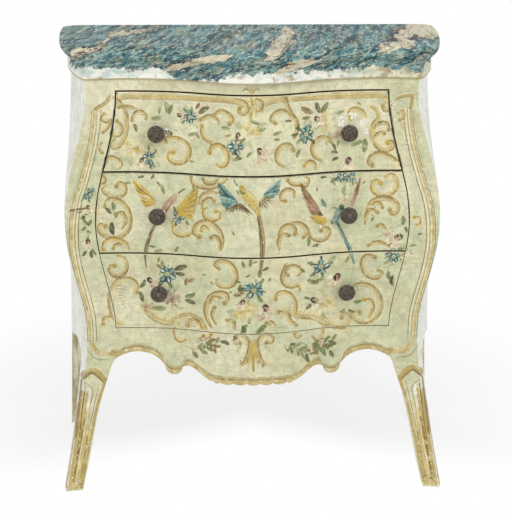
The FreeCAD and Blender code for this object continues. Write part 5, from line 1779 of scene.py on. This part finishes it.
def decorate(shop: PaintShop) -> None:
    """Paints the front and lays the raised beads."""
    tree = make_laid_lines()
    beads = RaisedBeads()
    LaidStrokes("raised_beads", CARCASS, FRONT_NODES[CARCASS], Finish.BODY, across=7,
                first_lift=-beads.sunk * MM).build(beads.strokes(), tree, shop.ochre)
    strokes = FrontDecoration().paint()
    for body in (CARCASS, *DRAWERS):
        slot = Finish.BODY if body == CARCASS else Finish.FRONT
        boxes = front_boxes(body)
        own = [stroke for stroke in strokes if touches(stroke, boxes)]
        LaidStrokes(f"{body}_brushwork", body, FRONT_NODES[body], slot).build(own, tree, shop.brushwork)


# ---------------------------------------------------------------- the studio
def aimed(place: Sequence[float], ahead: Vector) -> Matrix:
    """How a camera or a lamp stands at a place when it looks straight ahead."""
    return Matrix.Translation(place) @ ahead.to_track_quat("-Z", "Y").to_matrix().to_4x4()


@dataclass
class Studio:
    """White floor, soft light and the camera."""

    camera_place: tuple[float, float, float] = (-0.070, -2.767, 1.143)
    yaw: float = 1.65
    pitch: float = 15.11
    focal_pixels: float = 1500.0
    sensor: float = 36.0
    sky: Colour = (0.98, 0.99, 1.0)
    sky_strength: float = 0.76
    floor: Colour = (0.94, 0.94, 0.94)
    floor_half: float = 30.0
    shadow_share: float = 0.30

    def make_camera(self) -> None:
        """Places the camera and makes it the scene's."""
        data = bpy.data.cameras.new("camera")
        data.sensor_width = self.sensor
        data.lens = self.focal_pixels * self.sensor / IMAGE_HEIGHT
        data.clip_end = 2 * self.floor_half
        camera = add_object("camera", data)
        yaw, pitch = math.radians(self.yaw), math.radians(self.pitch)
        ahead = Vector((math.sin(yaw) * math.cos(pitch), math.cos(yaw) * math.cos(pitch), -math.sin(pitch)))
        camera.matrix_world = aimed(self.camera_place, ahead)
        bpy.context.scene.camera = camera

    def make_sky(self) -> None:
        """Even soft light, seen as white behind the chest."""
        world = bpy.data.worlds.new("studio")
        world.use_nodes = True
        bench = Bench(world.node_tree)
        world.node_tree.nodes.clear()
        path = bench.add("ShaderNodeLightPath").outputs
        seen = bench.math("MAXIMUM", path["Is Glossy Ray"], path["Is Transmission Ray"])
        seen = bench.math("MAXIMUM", path["Is Camera Ray"], seen)
        feeds = {"Color": rgba(self.sky), "Strength": self.sky_strength}
        soft = bench.add("ShaderNodeBackground", feeds).outputs[0]
        white = bench.add("ShaderNodeBackground", {"Color": rgba((1, 1, 1)), "Strength": 1.0}).outputs[0]
        both = bench.add("ShaderNodeMixShader", {0: seen, 1: soft, 2: white}).outputs[0]
        bench.add("ShaderNodeOutputWorld", {0: both})
        bpy.context.scene.world = world

    def make_lamp(self, name: str, place: Sequence[float], aim: Sequence[float], size: float,
                  power: float) -> None:
        """One soft square lamp, aimed at a point."""
        data = bpy.data.lights.new(name, "AREA")
        data.size = size
        data.energy = power
        add_object(name, data).matrix_world = aimed(place, Vector(aim) - Vector(place))

    def make_floor(self) -> None:
        """White floor that keeps a faint shadow."""
        half = self.floor_half
        corners = [(-half, -half, 0), (half, -half, 0), (half, half, 0), (-half, half, 0)]
        floor = new_mesh_object("floor", corners, [(0, 1, 2, 3)], smooth=False)
        material, bench, shader, place = start_material("floor_white")
        bench.feed(shader, {"Base Color": rgba(self.floor), "Roughness": 0.9, "Specular IOR Level": 0.1})
        glow = bench.add("ShaderNodeEmission", {"Color": rgba((1, 1, 1)), "Strength": 1.0}).outputs[0]
        spot = bench.parts(place)
        sideways = bench.times(bench.math("ABSOLUTE", spot[0]), 0.55)
        behind = bench.span(bench.plus(spot[1], sideways), 0.06, 0.30)
        away = bench.vector("DISTANCE", place, (0.0, 0.30, 0.0))["Value"]
        kept = bench.times(behind, bench.span(away, 0.35, 0.95, self.shadow_share, 0.0))
        seen = bench.add("ShaderNodeLightPath").outputs["Is Camera Ray"]
        seen = bench.times(seen, bench.minus(1.0, kept))
        both = bench.add("ShaderNodeMixShader", {0: seen, 1: shader.outputs[0], 2: glow}).outputs[0]
        bench.feed(material.node_tree.nodes["Material Output"], {0: both})
        floor.data.materials.append(material)

    def build(self) -> None:
        """Sets up the whole studio."""
        self.make_camera()
        self.make_sky()
        self.make_floor()
        self.make_lamp("key", (1.5, -2.6, 2.3), (0.0, 0.0, 0.45), 1.3, 26.0)
        self.make_lamp("fill", (-2.0, -2.4, 1.4), (0.0, 0.0, 0.45), 1.8, 16.0)
        bpy.context.scene.view_settings.view_transform = "Standard"


def main() -> None:
    """Builds the studio and dresses the chest."""
    Studio().build()
    shop = PaintShop()
    shop.dress_nodes()
    for body in DRAWERS:
        KnobPair(body).build(shop)
    decorate(shop)
    bpy.context.view_layer.update()


if __name__ == "__main__":
    main()
